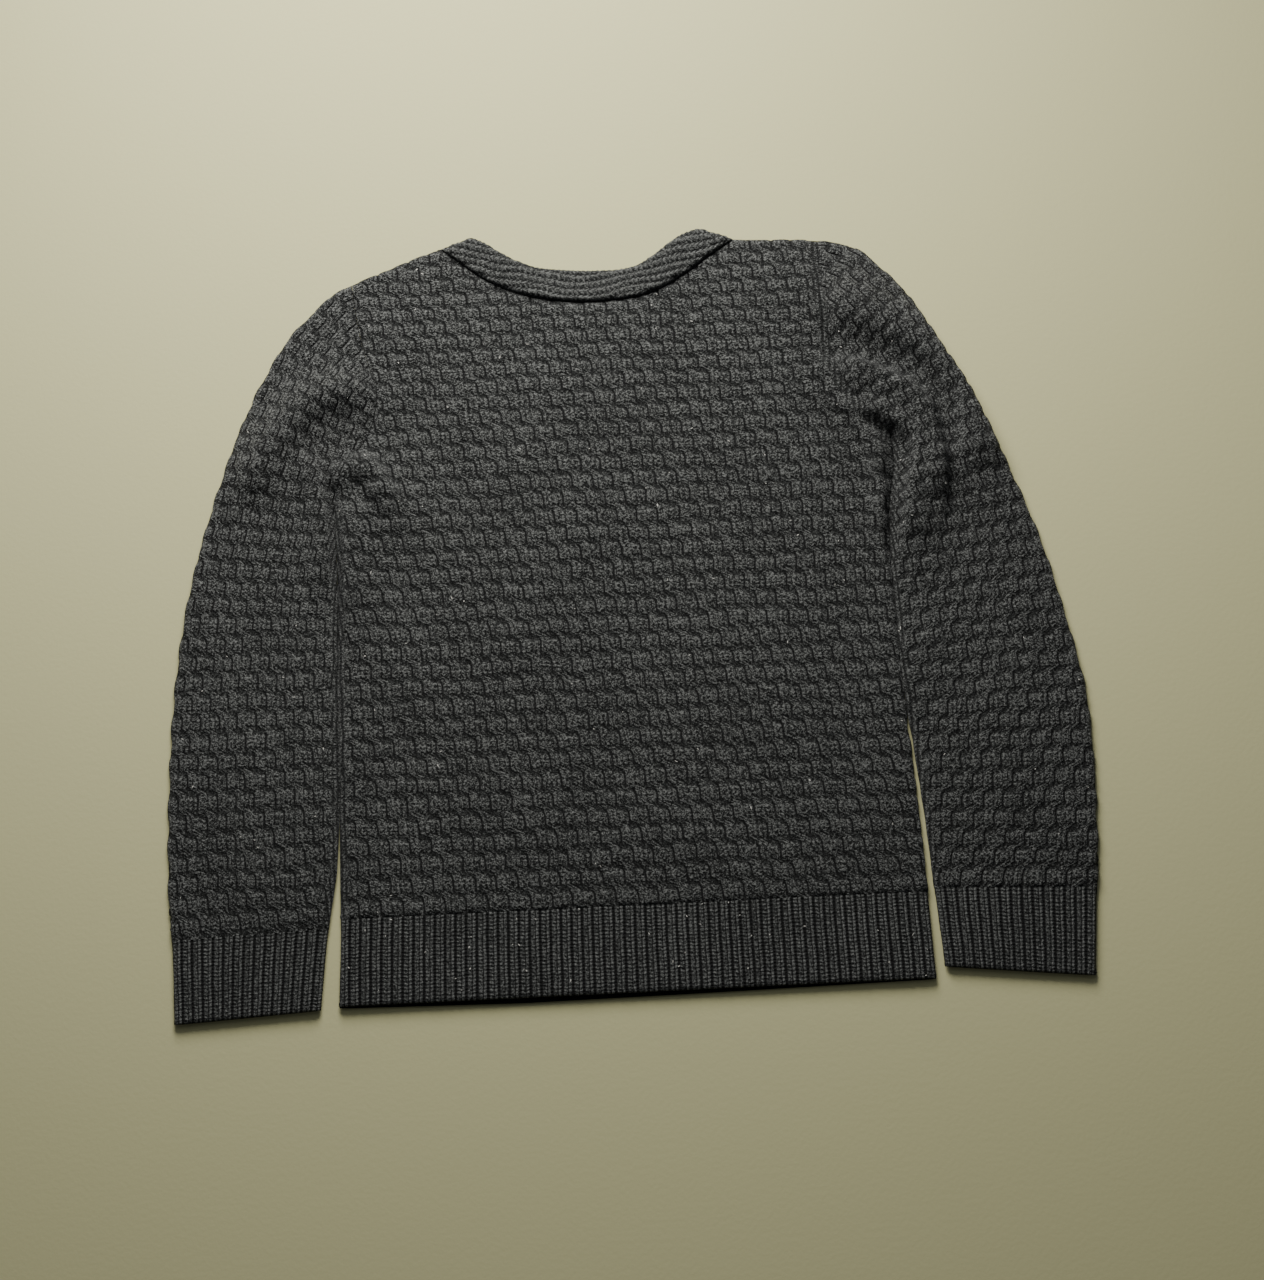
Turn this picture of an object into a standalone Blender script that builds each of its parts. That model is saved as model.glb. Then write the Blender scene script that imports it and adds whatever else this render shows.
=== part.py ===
# Henley pullover in a chunky all-over cable knit, laid flat with its back up.
#
# Everything is drawn in millimetres in the cutting plane: x runs across the garment from the
# left sleeve to the right one, y runs from the bottom of the hem up to the neck, and z stands
# up from the surface that the garment lies on.  The finished pieces are moved so that the middle of the
# whole garment's footprint is the origin, and are made in metres.
#
# A flattened piece has an upper layer (the back) and a lower layer (the front).  Where the
# cloth folds from one to the other its outer face rounds over to half of the stack's height.

import math
from collections import namedtuple

import bmesh
import bpy
import numpy as np
from mathutils.geometry import delaunay_2d_cdt

MM = 0.001

# ---- Driving dimensions, in millimetres ----

WALL = 3.0               # the knit's thickness without its cables
LAYER_GAP = 0.6          # between the front and the back where they lie on each other
SEAM_GAP = 0.3           # between two sewn pieces
FOLD_ROUND = 6.0         # how far in from a folded edge the cloth takes to round over
WELT_ROUND = 1.6         # the same at the free edge of a hem or cuff
NECK_ROUND = 5.0         # the same at the neckband's free edge
FREE_EDGE = 0.35         # share of the wall's thickness that is left right at a free edge

HEM_DEPTH = 70.0         # rib welt at the hem
CUFF_TOPS = {            # where a cuff's rib ends on the sleeve's outer and inner edges
    "left": (59.0, 63.0),
    "right": (67.0, 73.0),
}
BACK_RIBS = 56           # ribs across the back of the hem
CUFF_RIBS = 15           # ribs across the upper side of a cuff
RIB_RELIEF = 0.6         # a rib stands this much above the wall and sinks this much below
RIB_CLEAR = 2.4          # a rib's drawn line stops this far from the welt's edges

CELL_RELIEF = 0.75       # a cable cell stands this much above the wall, its edge this much below
BODY_HALF_CELLS = 32     # half cells laid out to each side of the body's middle
SLEEVE_HALF_CELLS = 24   # half cells laid out across a sleeve

NECKBAND_PROUD = 2.0     # the neckband stands above the back panel
NECKBAND_RIDGES = 5      # ribs that run along the neckband
NECKBAND_RELIEF = 0.8
NECKBAND_STATIONS = 30   # points along each ridge
NECKBAND_ROLL = 9.0      # it comes up to its full thickness this far from its free edge
NECKBAND_STEP = 4.0      # and this far from its seam

PLACKET_LEFT = -25.0
PLACKET_RIGHT = 5.0
PLACKET_BOTTOM = 392.0
PLACKET_BAND = 1.4       # thickness of each of its two bands
BUTTON_RADIUS = 7.5
BUTTON_THICK = 2.0
BUTTON_HEIGHTS = (548.0, 492.0, 436.0)
BUTTON_HOLE = 1.1        # radius of a thread hole
BUTTON_HOLE_OUT = 1.9    # from the button's middle to a thread hole's, each way

BUTTON_RIM = 0.5         # softened edge of a button
BUTTON_SIDES = 20

EDGE_STEP = 12.0         # spacing of the points along an outline
PLAIN_STEP = 34.0        # spacing of the points on a wall's plain inside
FOLD_STEP = 9.0          # the same where the cloth is folded up
FOLD_BEND = 0.45         # how much the cloth bends over one such step to count as folded up
EDGE_CLEAR = 4.0         # a plain inside's points stay this far from seams and free edges
BODY_CELL_CLEAR = 5.0    # the cells' points stay this far from the body's seams
SLEEVE_CELL_CLEAR = 4.0  # the same on a sleeve
NECKBAND_CLEAR = 1.8     # the same on the neckband

LAYERS_MIDDLE = WALL + LAYER_GAP / 2
BACK_INSIDE = WALL + LAYER_GAP
BACK_OUTSIDE = BACK_INSIDE + WALL

# ---- Outlines: short tables of (across, up), drawn through as smooth curves ----

Point = namedtuple("Point", "across up")

BODY_LEFT = [Point(-237, 0), Point(-234, 70), Point(-232.5, 160), Point(-230.5, 270),
             Point(-229.5, 360), Point(-231, 412)]
BODY_RIGHT = [Point(237, 0), Point(236, 70), Point(232.5, 160), Point(228, 260), Point(226, 330),
              Point(226.5, 385), Point(226, 430), Point(221, 458), Point(214, 478)]
ARMHOLE_LEFT = [Point(-231, 412), Point(-221, 447), Point(-201, 476), Point(-192, 508),
                Point(-198, 535), Point(-206, 569), Point(-211, 611)]
ARMHOLE_RIGHT = [Point(214, 478), Point(198, 500), Point(189, 530), Point(187, 562),
                 Point(184, 596), Point(184, 632)]
SHOULDER_LEFT = [Point(-211, 611), Point(-183, 622), Point(-160, 631), Point(-135, 640)]
SHOULDER_RIGHT = [Point(184, 632), Point(160, 634), Point(137, 635), Point(113, 637)]
NECK_BACK = [Point(-135, 640), Point(-120, 627), Point(-95, 608), Point(-64, 594),
             Point(-30, 587), Point(4, 586), Point(38, 591), Point(65, 604), Point(91, 622),
             Point(113, 637)]
NECK_BACK_TOP = [Point(-108, 649), Point(-96, 642), Point(-80, 631), Point(-56, 620),
                 Point(-28, 616), Point(2, 614.5), Point(28, 617), Point(46, 627),
                 Point(66, 641), Point(85, 648)]
NECK_FRONT_LEFT = [Point(-135, 640), Point(-124, 610), Point(-103, 577), Point(-70, 552),
                   Point(-25, 541)]
NECK_FRONT_RIGHT = [Point(113, 637), Point(103, 608), Point(82, 576), Point(50, 552),
                    Point(5, 541)]
NECK_INNER_LEFT = [Point(-108, 649), Point(-99, 618), Point(-82, 594), Point(-57, 576),
                   Point(-25, 567)]
NECK_INNER_RIGHT = [Point(85, 648), Point(77, 617), Point(61, 593), Point(36, 575),
                    Point(5, 567)]

SLEEVE_LEFT_OUTER = [Point(-211, 611), Point(-227, 603), Point(-250, 582), Point(-270, 558),
                     Point(-297, 510), Point(-322, 447), Point(-340, 390), Point(-355, 328),
                     Point(-365, 255), Point(-370, 175), Point(-371, 100), Point(-369, 59),
                     Point(-368, -8)]
SLEEVE_LEFT_INNER = [Point(-231, 412), Point(-231.8, 380), Point(-231.2, 320),
                     Point(-232.3, 230), Point(-234.6, 160), Point(-238, 115), Point(-244, 63),
                     Point(-251, -2)]
SLEEVE_RIGHT_OUTER = [Point(184, 632), Point(201, 629), Point(220, 621), Point(238, 603),
                      Point(258, 578), Point(285, 528), Point(305, 490), Point(331, 422),
                      Point(352, 357), Point(367, 290), Point(377, 235), Point(379, 170),
                      Point(376, 95), Point(373, 67), Point(366, -4)]
SLEEVE_RIGHT_INNER = [Point(214, 478), Point(222.5, 461), Point(227.5, 430), Point(227.7, 385),
                      Point(227.2, 330), Point(230.2, 260), Point(235, 175), Point(239.5, 110),
                      Point(242.5, 73), Point(249, 9)]

# ---- The body's knit: cells in rows, each row set off by half a cell ----
# "pitch" is a cell's width at that height, and "row" is the height of a row of cells.

Knit = namedtuple("Knit", "up pitch row")

BODY_KNIT = [Knit(70, 17.1, 16.3), Knit(170, 16.8, 16.2), Knit(300, 16.3, 15.8),
             Knit(400, 17.1, 15.3), Knit(480, 17.5, 14.3), Knit(560, 18.0, 12.9),
             Knit(650, 18.1, 12.4)]
BODY_DRIFT = 0.056       # the cell columns drift to the right by this much for each mm down
BODY_DRIFT_FROM = 300.0  # the height at which the middle column is at x = 0

# ---- The sleeves' knit: rows start on the outer edge ----
# "slope" is how a row rises towards the right, in degrees.

SleeveKnit = namedtuple("SleeveKnit", "up slope pitch row")

SLEEVE_LEFT_KNIT = [SleeveKnit(60, 2, 15.7, 16.4), SleeveKnit(190, 1, 15.6, 16.8),
                    SleeveKnit(290, -1, 14.9, 16.7), SleeveKnit(370, -6, 13.8, 16.2),
                    SleeveKnit(450, -14, 13.6, 16.2), SleeveKnit(520, -25, 13.6, 16.2),
                    SleeveKnit(600, -48, 13.6, 16.2)]
SLEEVE_RIGHT_KNIT = [SleeveKnit(65, -3, 16.9, 16.4), SleeveKnit(190, 0, 16.6, 16.8),
                     SleeveKnit(295, 5, 15.8, 16.7), SleeveKnit(385, 8, 14.0, 16.0),
                     SleeveKnit(450, 13, 13.7, 15.8), SleeveKnit(520, 23, 13.6, 15.8),
                     SleeveKnit(610, 46, 13.6, 15.8)]

# ---- Folds of the upper layer ----
# Each is a ridge that runs through a few places.  "left" and "right" are how far it falls away
# on either side of its direction of travel.

Fold = namedtuple("Fold", "height left right places")

FOLDS = [
    # left underarm: the arched ridge, the mound under it and the rolls down the sleeve
    Fold(8.0, 17, 22, [Point(-312, 452), Point(-284, 497), Point(-245, 526), Point(-200, 524),
                       Point(-166, 494)]),
    Fold(7.5, 17, 19, [Point(-226, 448), Point(-203, 470), Point(-174, 458), Point(-158, 424)]),
    Fold(7.0, 17, 14, [Point(-264, 474), Point(-253, 420), Point(-247, 340)]),
    Fold(4.0, 18, 26, [Point(-330, 470), Point(-345, 400), Point(-352, 300)]),
    Fold(4.0, 15, 22, [Point(-206, 430), Point(-212, 400), Point(-214, 330)]),
    # right underarm: the sleeve's arched lobe, steep on its outer side, and the rolls below it
    Fold(12.5, 12, 19, [Point(190, 504), Point(222, 513), Point(250, 500), Point(267, 468),
                        Point(274, 428), Point(269, 376), Point(254, 306)]),
    Fold(4.5, 20, 24, [Point(316, 440), Point(338, 372), Point(350, 300)]),
    Fold(5.5, 20, 14, [Point(205, 470), Point(208, 420), Point(206, 340)]),
    Fold(4.0, 12, 16, [Point(215, 612), Point(262, 560), Point(296, 480)]),
    # the shoulders' soft rise over the seams
    Fold(3.0, 12, 20, [Point(-205, 590), Point(-186, 560), Point(-176, 536)]),
    Fold(3.0, 16, 10, [Point(178, 610), Point(178, 570), Point(176, 536)]),
]
FOLD_FADE = 34.0         # a fold rises and dies away over this much of its length
FOLD_OVERLAP = 0.25      # share of the lower fold's height that adds to the higher one's

PLACKET_MOUND = 2.4      # the back rises over the placket
MOUND_MARGIN = 4.0
MOUND_FADE = 45.0
NECK_SAG = 3.0           # the back sinks where no front lies under it
NECK_SAG_MIDDLE = Point(-10, 640)
NECK_SAG_REACH = Point(74, 60)


def to_array(points):
    return np.array([tuple(p) for p in points], dtype=float)


def smooth(points, steps=12):
    """A dense Catmull-Rom curve through the table's points."""
    p = to_array(points)
    p = np.vstack([2 * p[0] - p[1], p, 2 * p[-1] - p[-2]])
    t = np.linspace(0, 1, steps, endpoint=False)[:, None]
    runs = []
    for a, b, c, d in zip(p, p[1:], p[2:], p[3:]):
        runs.append(0.5 * (2 * b + (c - a) * t + (2 * a - 5 * b + 4 * c - d) * t ** 2
                           + (3 * b - a - 3 * c + d) * t ** 3))
    return np.vstack(runs + [p[-2:-1]])


def lengths(line):
    return np.concatenate([[0], np.cumsum(np.linalg.norm(np.diff(line, axis=0), axis=1))])


def along(line, distance):
    """Points at the given distances along a line."""
    s = lengths(line)
    return np.column_stack([np.interp(distance, s, line[:, k]) for k in (0, 1)])


def between_heights(line, low, high):
    """The stretch of a line that lies between two heights."""
    s, up = lengths(line), line[:, 1]
    order = np.argsort(up)
    ends = np.sort(np.interp([low, high], up[order], s[order]))
    keep = s[(s > ends[0] + 0.5) & (s < ends[1] - 0.5)]
    return along(line, np.concatenate([[ends[0]], keep, [ends[1]]]))


def straight(a, b):
    return np.array([a, b], dtype=float)


def distance_to(points, line):
    """How far each point is from a line of many short straight stretches."""
    best = np.full(len(points), np.inf)
    for a, b in zip(line, line[1:]):
        run = b - a
        t = np.clip(((points - a) @ run) / max(run @ run, 1e-12), 0, 1)
        best = np.minimum(best, np.linalg.norm(points - a - t[:, None] * run, axis=1))
    return best


def inward(line):
    """Unit normals on the left of a line, which is inside an outline that runs anticlockwise."""
    run = np.gradient(line, axis=0)
    run /= np.linalg.norm(run, axis=1)[:, None]
    return np.column_stack([-run[:, 1], run[:, 0]])


def round_over(t):
    """A quarter circle: 0 at the edge, 1 from t = 1 on."""
    t = np.clip(t, 0, 1)
    return np.sqrt(1 - (1 - t) ** 2)


def soft_box(value, low, high, fade):
    """1 between two values, fading to 0 outside them."""
    rise = np.clip((value - low) / fade + 1, 0, 1)
    fall = np.clip((high - value) / fade + 1, 0, 1)
    return (rise * rise * (3 - 2 * rise)) * (fall * fall * (3 - 2 * fall))


# ---- The upper layer's height ----

def ridge_height(points, fold):
    """Height of one fold above the lower layer, at each point."""
    line = smooth(fold.places, 8)
    s = lengths(line)
    best = np.full(len(points), np.inf)
    side = np.zeros(len(points))
    travelled = np.zeros(len(points))
    for k, (a, b) in enumerate(zip(line, line[1:])):
        run = b - a
        t = np.clip(((points - a) @ run) / (run @ run), 0, 1)
        off = points - a - t[:, None] * run
        far = np.linalg.norm(off, axis=1)
        near = far < best
        best[near] = far[near]
        side[near] = (run[0] * off[:, 1] - run[1] * off[:, 0])[near]
        travelled[near] = s[k] + t[near] * (s[k + 1] - s[k])
    width = np.where(side > 0, fold.left, fold.right)
    ends = np.clip(np.minimum(travelled, s[-1] - travelled) / FOLD_FADE, 0, 1)
    return fold.height * (0.3 + 0.7 * ends * ends * (3 - 2 * ends)) * np.exp(-(best / width) ** 2)


def fold_height(points):
    """How far the upper layer is lifted off the lower one by its folds."""
    total = np.zeros(len(points))
    for fold in FOLDS:
        ridge = ridge_height(points, fold)
        total = np.maximum(total, ridge) + FOLD_OVERLAP * np.minimum(total, ridge)
    x, y = points[:, 0], points[:, 1]
    mound = PLACKET_MOUND \
        * soft_box(x, PLACKET_LEFT - MOUND_MARGIN, PLACKET_RIGHT + MOUND_MARGIN, MOUND_FADE) \
        * soft_box(y, PLACKET_BOTTOM - MOUND_MARGIN, NECK_INNER_LEFT[-1].up, MOUND_FADE)
    hole = ((x - NECK_SAG_MIDDLE.across) / NECK_SAG_REACH.across) ** 2 \
        + ((y - NECK_SAG_MIDDLE.up) / NECK_SAG_REACH.up) ** 2
    sag = NECK_SAG * np.clip(1.25 * (1 - hole), 0, 1)
    return total + mound - sag


# ---- Outlines made of edges ----
# An edge is "fold" where the cloth turns over to the other layer, "seam" where it is sewn to
# its neighbour, and "free" where it simply ends.

Edge = namedtuple("Edge", "kind line")

ROUND_OF = {"fold": FOLD_ROUND, "free": WELT_ROUND, "neck": NECK_ROUND}


def sampled(edges):
    """The outer outline, its inner twin (in by the wall at a fold), and each point's kind."""
    outer, inner, folded = [], [], []
    count = len(edges)
    for k, edge in enumerate(edges):
        before, after = edges[k - 1].kind, edges[(k + 1) % count].kind
        total = lengths(edge.line)[-1]
        steps = max(2, round(total / EDGE_STEP))
        s = np.linspace(0, total, steps + 1)
        points = along(edge.line, s)
        normals = inward(points)
        if edge.kind == "fold":
            inside = points + normals * WALL
        else:
            start = WALL if before == "fold" else 0.0
            end = WALL if after == "fold" else 0.0
            inside = along(edge.line, start + s * (total - start - end) / total)
            if edge.kind == "seam":
                points = points + normals * SEAM_GAP / 2
                inside = inside + normals * SEAM_GAP / 2
        outer.append(points)
        inner.append(inside)
        folded.append(np.full(len(points), edge.kind == "fold"))
    loop, twin, shared = [], [], []
    for k, edge in enumerate(edges):
        nxt = (k + 1) % count
        # a corner takes its inner point from the edge that isn't the fold
        corner_in = inner[nxt][0] if edge.kind == "fold" else inner[k][-1]
        loop += list(outer[k][1:-1]) + [(outer[k][-1] + outer[nxt][0]) / 2]
        twin += list(inner[k][1:-1]) + [corner_in]
        shared += list(folded[k][1:-1]) + [bool(folded[k][-1] or folded[nxt][0])]
    return np.array(loop), np.array(twin), np.array(shared)


def rings(edges):
    """Points just inside the rounded edges, which give them their curve."""
    found = []
    for k, edge in enumerate(edges):
        radius = ROUND_OF.get(edge.kind)
        if radius is None:
            continue
        total = lengths(edge.line)[-1]
        points = along(edge.line, np.linspace(0, total, max(2, round(total / EDGE_STEP)) + 1))
        points, normals = points[1:-1], inward(points)[1:-1]
        others = [e.line for j, e in enumerate(edges) if j != k]
        for share in (0.25, 1.0):
            ring = points + normals * radius * share
            clear = np.min([distance_to(ring, line) for line in others], axis=0)
            found.append(ring[clear > radius * share + 1.5])
    return np.vstack(found) if found else np.zeros((0, 2))


def edge_distance(points, edges, kind):
    lines = [e.line for e in edges if e.kind == kind]
    if not lines:
        return np.full(len(points), np.inf)
    return np.min([distance_to(points, line) for line in lines], axis=0)


def fold_distance(points, edges):
    """How far each point is from a folded edge; a corner that a seam's gap shifts counts as on it."""
    return np.maximum(edge_distance(points, edges, "fold") - SEAM_GAP, 0)


def inside_outline(points, loop):
    x, y = points[:, 0], points[:, 1]
    hit = np.zeros(len(points), dtype=bool)
    for (x1, y1), (x2, y2) in zip(loop, np.roll(loop, -1, axis=0)):
        cross = (y1 > y) != (y2 > y)
        at = x1 + (y - y1) * (x2 - x1) / (y2 - y1 if y2 != y1 else 1e-12)
        hit ^= cross & (x < at)
    return hit


def knit_inside(knit, edges, loop, clearance):
    """The part of a knit that lies inside an outline, clear of its rounded edges and seams."""
    keep = inside_outline(knit.points, loop)
    keep &= edge_distance(knit.points, edges, "seam") > clearance
    for kind, radius in ROUND_OF.items():
        keep &= edge_distance(knit.points, edges, kind) > radius + clearance / 2
    new = np.cumsum(keep) - 1
    ties = [(new[a], new[b]) for a, b in knit.ties if keep[a] and keep[b]]
    return Knitted(knit.points[keep], knit.relief[keep], ties)


# ---- Heights of a layer's two faces ----

Layer = namedtuple("Layer", "upper middle proud")

UPPER_LAYER = Layer(True, LAYERS_MIDDLE + SEAM_GAP / 2, 0.0)
LOWER_LAYER = Layer(False, LAYERS_MIDDLE - SEAM_GAP / 2, 0.0)


def outer_height(points, relief, edges, layer):
    """z of a layer's outer face: the top of the upper layer, the underside of the lower."""
    fold = fold_distance(points, edges)
    if layer.upper:
        lift = fold_height(points)
        high = BACK_OUTSIDE + lift + relief
        for kind in ("free", "neck"):
            near = edge_distance(points, edges, kind) / ROUND_OF[kind]
            base = BACK_INSIDE + lift
            high = base + (high - base) * (FREE_EDGE + (1 - FREE_EDGE) * round_over(near))
        high = high + layer.proud \
            * round_over(edge_distance(points, edges, "neck") / NECKBAND_ROLL) \
            * round_over(edge_distance(points, edges, "seam") / NECKBAND_STEP)
        return layer.middle + (high - layer.middle) * round_over(fold / FOLD_ROUND)
    return layer.middle * (1 - round_over(fold / FOLD_ROUND))


def inner_height(points, edges, layer):
    """z of a layer's plain inner face."""
    fold = fold_distance(points, edges)
    share = round_over((fold - WALL) / FOLD_ROUND)
    if layer.upper:
        flat = BACK_INSIDE + fold_height(points)
    else:
        flat = np.full(len(points), WALL)
    return layer.middle + (flat - layer.middle) * share


# ---- Triangulated faces over an outline ----

def faces_over(loop, points, ties=()):
    """Delaunay triangles over an outline: (all points, triangles, each given point's index)."""
    coords = list(loop) + list(points)
    sides = [(k, (k + 1) % len(loop)) for k in range(len(loop))]
    made = delaunay_2d_cdt([tuple(c) for c in coords], sides + list(ties), [], 1, 0.01)
    verts = np.array([tuple(v) for v in made[0]])
    place = {}
    for new, sources in enumerate(made[3]):
        for source in sources:
            place[source] = new
    return verts, [tuple(f) for f in made[2]], [place[k] for k in range(len(coords))]


def spread(values, skip, place, count):
    """Gives the points after the first few of faces_over their values, and the rest none."""
    out = np.zeros(count)
    for k, value in enumerate(values):
        out[place[skip + k]] = value
    return out


# A face's knit: points with their relief, and the pairs of points that an edge has to join.
Knitted = namedtuple("Knitted", "points relief ties")

NOWHERE = np.zeros((0, 2))
PLAIN = Knitted(NOWHERE, [], [])


class Solid:
    """Points and faces of one closed solid, in millimetres."""

    def __init__(self):
        self.points = []
        self.faces = []

    def add_point(self, x, y, z):
        self.points.append((x, y, z))
        return len(self.points) - 1

    def add_surface(self, verts, tris, heights, loop_index, known, up):
        """Adds a triangulated face; known maps a loop place to a point made before."""
        index = {loop_index[place]: point for place, point in known.items()}
        for k, (x, y) in enumerate(verts):
            if k not in index:
                index[k] = self.add_point(x, y, heights[k])
        for tri in tris:
            corners = [index[v] for v in tri]
            self.faces.append(tuple(corners if up else reversed(corners)))
        return [index[v] for v in loop_index]

    def add_strip(self, first, second, closed):
        """Faces between two rows of points; they face right of the first row's direction."""
        count = len(first)
        for k in range(count if closed else count - 1):
            n = (k + 1) % count
            self.faces.append((first[k], second[k], second[n]))
            self.faces.append((first[k], second[n], first[n]))


def outer_face(edges, loop, knit):
    """An outer face over an outline, and the relief of each of its points."""
    ring = rings(edges)
    first = len(loop) + len(ring)
    ties = [(first + a, first + b) for a, b in knit.ties]
    verts, tris, place = faces_over(loop, np.vstack([ring, knit.points]), ties)
    return verts, tris, place[:len(loop)], spread(knit.relief, first, place, len(verts))


def panel(edges, layer, knit, inside_points):
    """One layer of cloth over an outline, as a closed wall."""
    loop, twin, _ = sampled(edges)
    solid = Solid()
    verts, tris, place, relief = outer_face(edges, loop, knit)
    z = outer_height(verts, relief, edges, layer)
    outer = solid.add_surface(verts, tris, z, place, {}, layer.upper)
    verts, tris, place = faces_over(twin, inside_points)
    z = inner_height(verts, edges, layer)
    inner = solid.add_surface(verts, tris, z, place[:len(twin)], {}, not layer.upper)
    if layer.upper:
        solid.add_strip(outer, inner, True)
    else:
        solid.add_strip(inner, outer, True)
    return solid


def tube(edges, knit, inside_points):
    """A flattened tube of cloth: both layers in one wall, open at its sewn and free ends."""
    upper = Layer(True, LAYERS_MIDDLE, 0.0)
    lower = Layer(False, LAYERS_MIDDLE, 0.0)
    loop, twin, shared = sampled(edges)
    count = len(loop)
    solid = Solid()
    verts, tris, place, relief = outer_face(edges, loop, knit)
    z = outer_height(verts, relief, edges, upper)
    top = solid.add_surface(verts, tris, z, place, {}, True)
    fold = {k: top[k] for k in np.flatnonzero(shared)}
    verts, tris, place, _ = outer_face(edges, loop, PLAIN)
    z = outer_height(verts, 0, edges, lower)
    bottom = solid.add_surface(verts, tris, z, place, fold, False)
    verts, tris, place = faces_over(twin, inside_points)
    z = inner_height(verts, edges, upper)
    ceiling = solid.add_surface(verts, tris, z, place[:count], {}, False)
    fold = {k: ceiling[k] for k in np.flatnonzero(shared)}
    verts, tris, place = faces_over(twin, NOWHERE)
    z = inner_height(verts, edges, lower)
    floor = solid.add_surface(verts, tris, z, place[:count], fold, True)
    for k in range(count):
        n = (k + 1) % count
        if shared[k] and shared[n]:
            continue
        solid.add_strip([top[k], top[n]], [ceiling[k], ceiling[n]], False)
        solid.add_strip([floor[k], floor[n]], [bottom[k], bottom[n]], False)
    return solid


# ---- Knit layouts ----

def knit_rows(table, top):
    """Heights of the rows of cells from the foot of the knit to its top."""
    rows = [table[0].up + table[0].row / 2]
    while rows[-1] < top:
        step = np.interp(rows[-1], [k.up for k in table], [k.row for k in table])
        rows.append(rows[-1] + step)
    return rows


def cells(rows):
    """A knit of staggered cells: each row's places are half a cell apart.

    A cell's middle is raised, the places between it and its neighbours are sunk, and edges
    join the sunk places around it.
    """
    count = len(rows[0])
    relief = [CELL_RELIEF if (half + j) % 2 == 0 else -CELL_RELIEF
              for j in range(len(rows)) for half in range(count)]
    ties = [(j * count + half, (j + 1) * count + half + step)
            for j in range(len(rows) - 1) for half in range(1, count - 1)
            for step in (-1, 1) if (half + j) % 2]
    return Knitted(np.vstack(rows), np.array(relief), ties)


def body_cells():
    rows = []
    halves = np.arange(-BODY_HALF_CELLS, BODY_HALF_CELLS + 1)
    for y in knit_rows(BODY_KNIT, BODY_KNIT[-1].up):
        pitch = np.interp(y, [k.up for k in BODY_KNIT], [k.pitch for k in BODY_KNIT])
        middle = (BODY_DRIFT_FROM - y) * BODY_DRIFT
        rows.append(np.column_stack([middle + halves * pitch / 2, np.full(len(halves), y)]))
    return cells(rows)


def sleeve_cells(outer_line, table, inward_sign):
    """Rows that start on a sleeve's outer edge, from the cuff up to the shoulder."""
    line = between_heights(outer_line, table[0].up, outer_line[:, 1].max())
    if line[0, 1] > line[-1, 1]:
        line = line[::-1]
    ups = [k.up for k in table]
    halves = np.arange(SLEEVE_HALF_CELLS)[:, None]
    s, total = table[0].row / 2, lengths(line)[-1]
    rows = []
    while s < total:
        start = along(line, [s])[0]
        slope = math.radians(np.interp(start[1], ups, [k.slope for k in table]))
        pitch = np.interp(start[1], ups, [k.pitch for k in table])
        run = inward_sign * np.array([math.cos(slope), math.sin(slope)])
        rows.append(start + halves * run * pitch / 2)
        s += np.interp(start[1], ups, [k.row for k in table])
    return cells(rows)


def thinned(points, spacing):
    """Drops each point that lies closer than the spacing to one kept before."""
    kept = []
    buckets = {}
    for p in points:
        key = (int(p[0] // spacing), int(p[1] // spacing))
        near = [q for dx in (-1, 0, 1) for dy in (-1, 0, 1)
                for q in buckets.get((key[0] + dx, key[1] + dy), [])]
        if all((p[0] - q[0]) ** 2 + (p[1] - q[1]) ** 2 >= spacing ** 2 for q in near):
            kept.append(p)
            buckets.setdefault(key, []).append(p)
    return np.array(kept) if kept else np.zeros((0, 2))


def plain_points(edges, twin):
    """Points of a wall's plain inside: close where the cloth is folded up, wide elsewhere."""
    low, high = twin.min(axis=0), twin.max(axis=0)
    across = np.arange(low[0], high[0], FOLD_STEP)
    up = np.arange(low[1], high[1], FOLD_STEP)
    grid = np.array([(x + (j % 2) * FOLD_STEP / 2, y) for j, y in enumerate(up) for x in across])
    grid = grid[inside_outline(grid, twin)]
    grid = grid[edge_distance(grid, edges, "fold") > WALL + FOLD_ROUND]
    for kind in ("seam", "free", "neck"):
        grid = grid[edge_distance(grid, edges, kind) > EDGE_CLEAR]
    if not len(grid):
        return grid
    step = FOLD_STEP
    here = fold_height(grid)
    bend = np.zeros(len(grid))
    for move in ((step, 0), (0, step), (step, step), (step, -step)):
        ahead = fold_height(grid + move)
        behind = fold_height(grid - move)
        bend = np.maximum(bend, np.abs(ahead + behind - 2 * here))
    close = grid[bend > FOLD_BEND]
    return np.vstack([close, thinned_clear(grid[bend <= FOLD_BEND], close)])


def thinned_clear(points, others):
    """Widely spaced points that also stay clear of the close ones."""
    wide = thinned(points, PLAIN_STEP)
    if not len(others) or not len(wide):
        return wide
    far = [np.min(np.linalg.norm(others - p, axis=1)) > FOLD_STEP for p in wide]
    return wide[np.array(far)]


def rib_knit(low_line, high_line, ribs, edges):
    """Crests and furrows that run between two edges, each a line of three points."""
    points, relief, ties = [], [], []
    for k in range(1, 2 * ribs):
        share = k / (2 * ribs)
        a = along(low_line, [share * lengths(low_line)[-1]])[0]
        b = along(high_line, [share * lengths(high_line)[-1]])[0]
        end = RIB_CLEAR / np.linalg.norm(b - a)
        line = [a + (b - a) * t for t in (end, 0.5, 1 - end)]
        if edge_distance(np.array(line), edges, "fold").min() > FOLD_ROUND + 1:
            ties += [(len(points), len(points) + 1), (len(points) + 1, len(points) + 2)]
            points += line
            relief += [RIB_RELIEF if k % 2 else -RIB_RELIEF] * len(line)
    return Knitted(np.array(points), np.array(relief), ties)


# ---- The pieces ----

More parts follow.
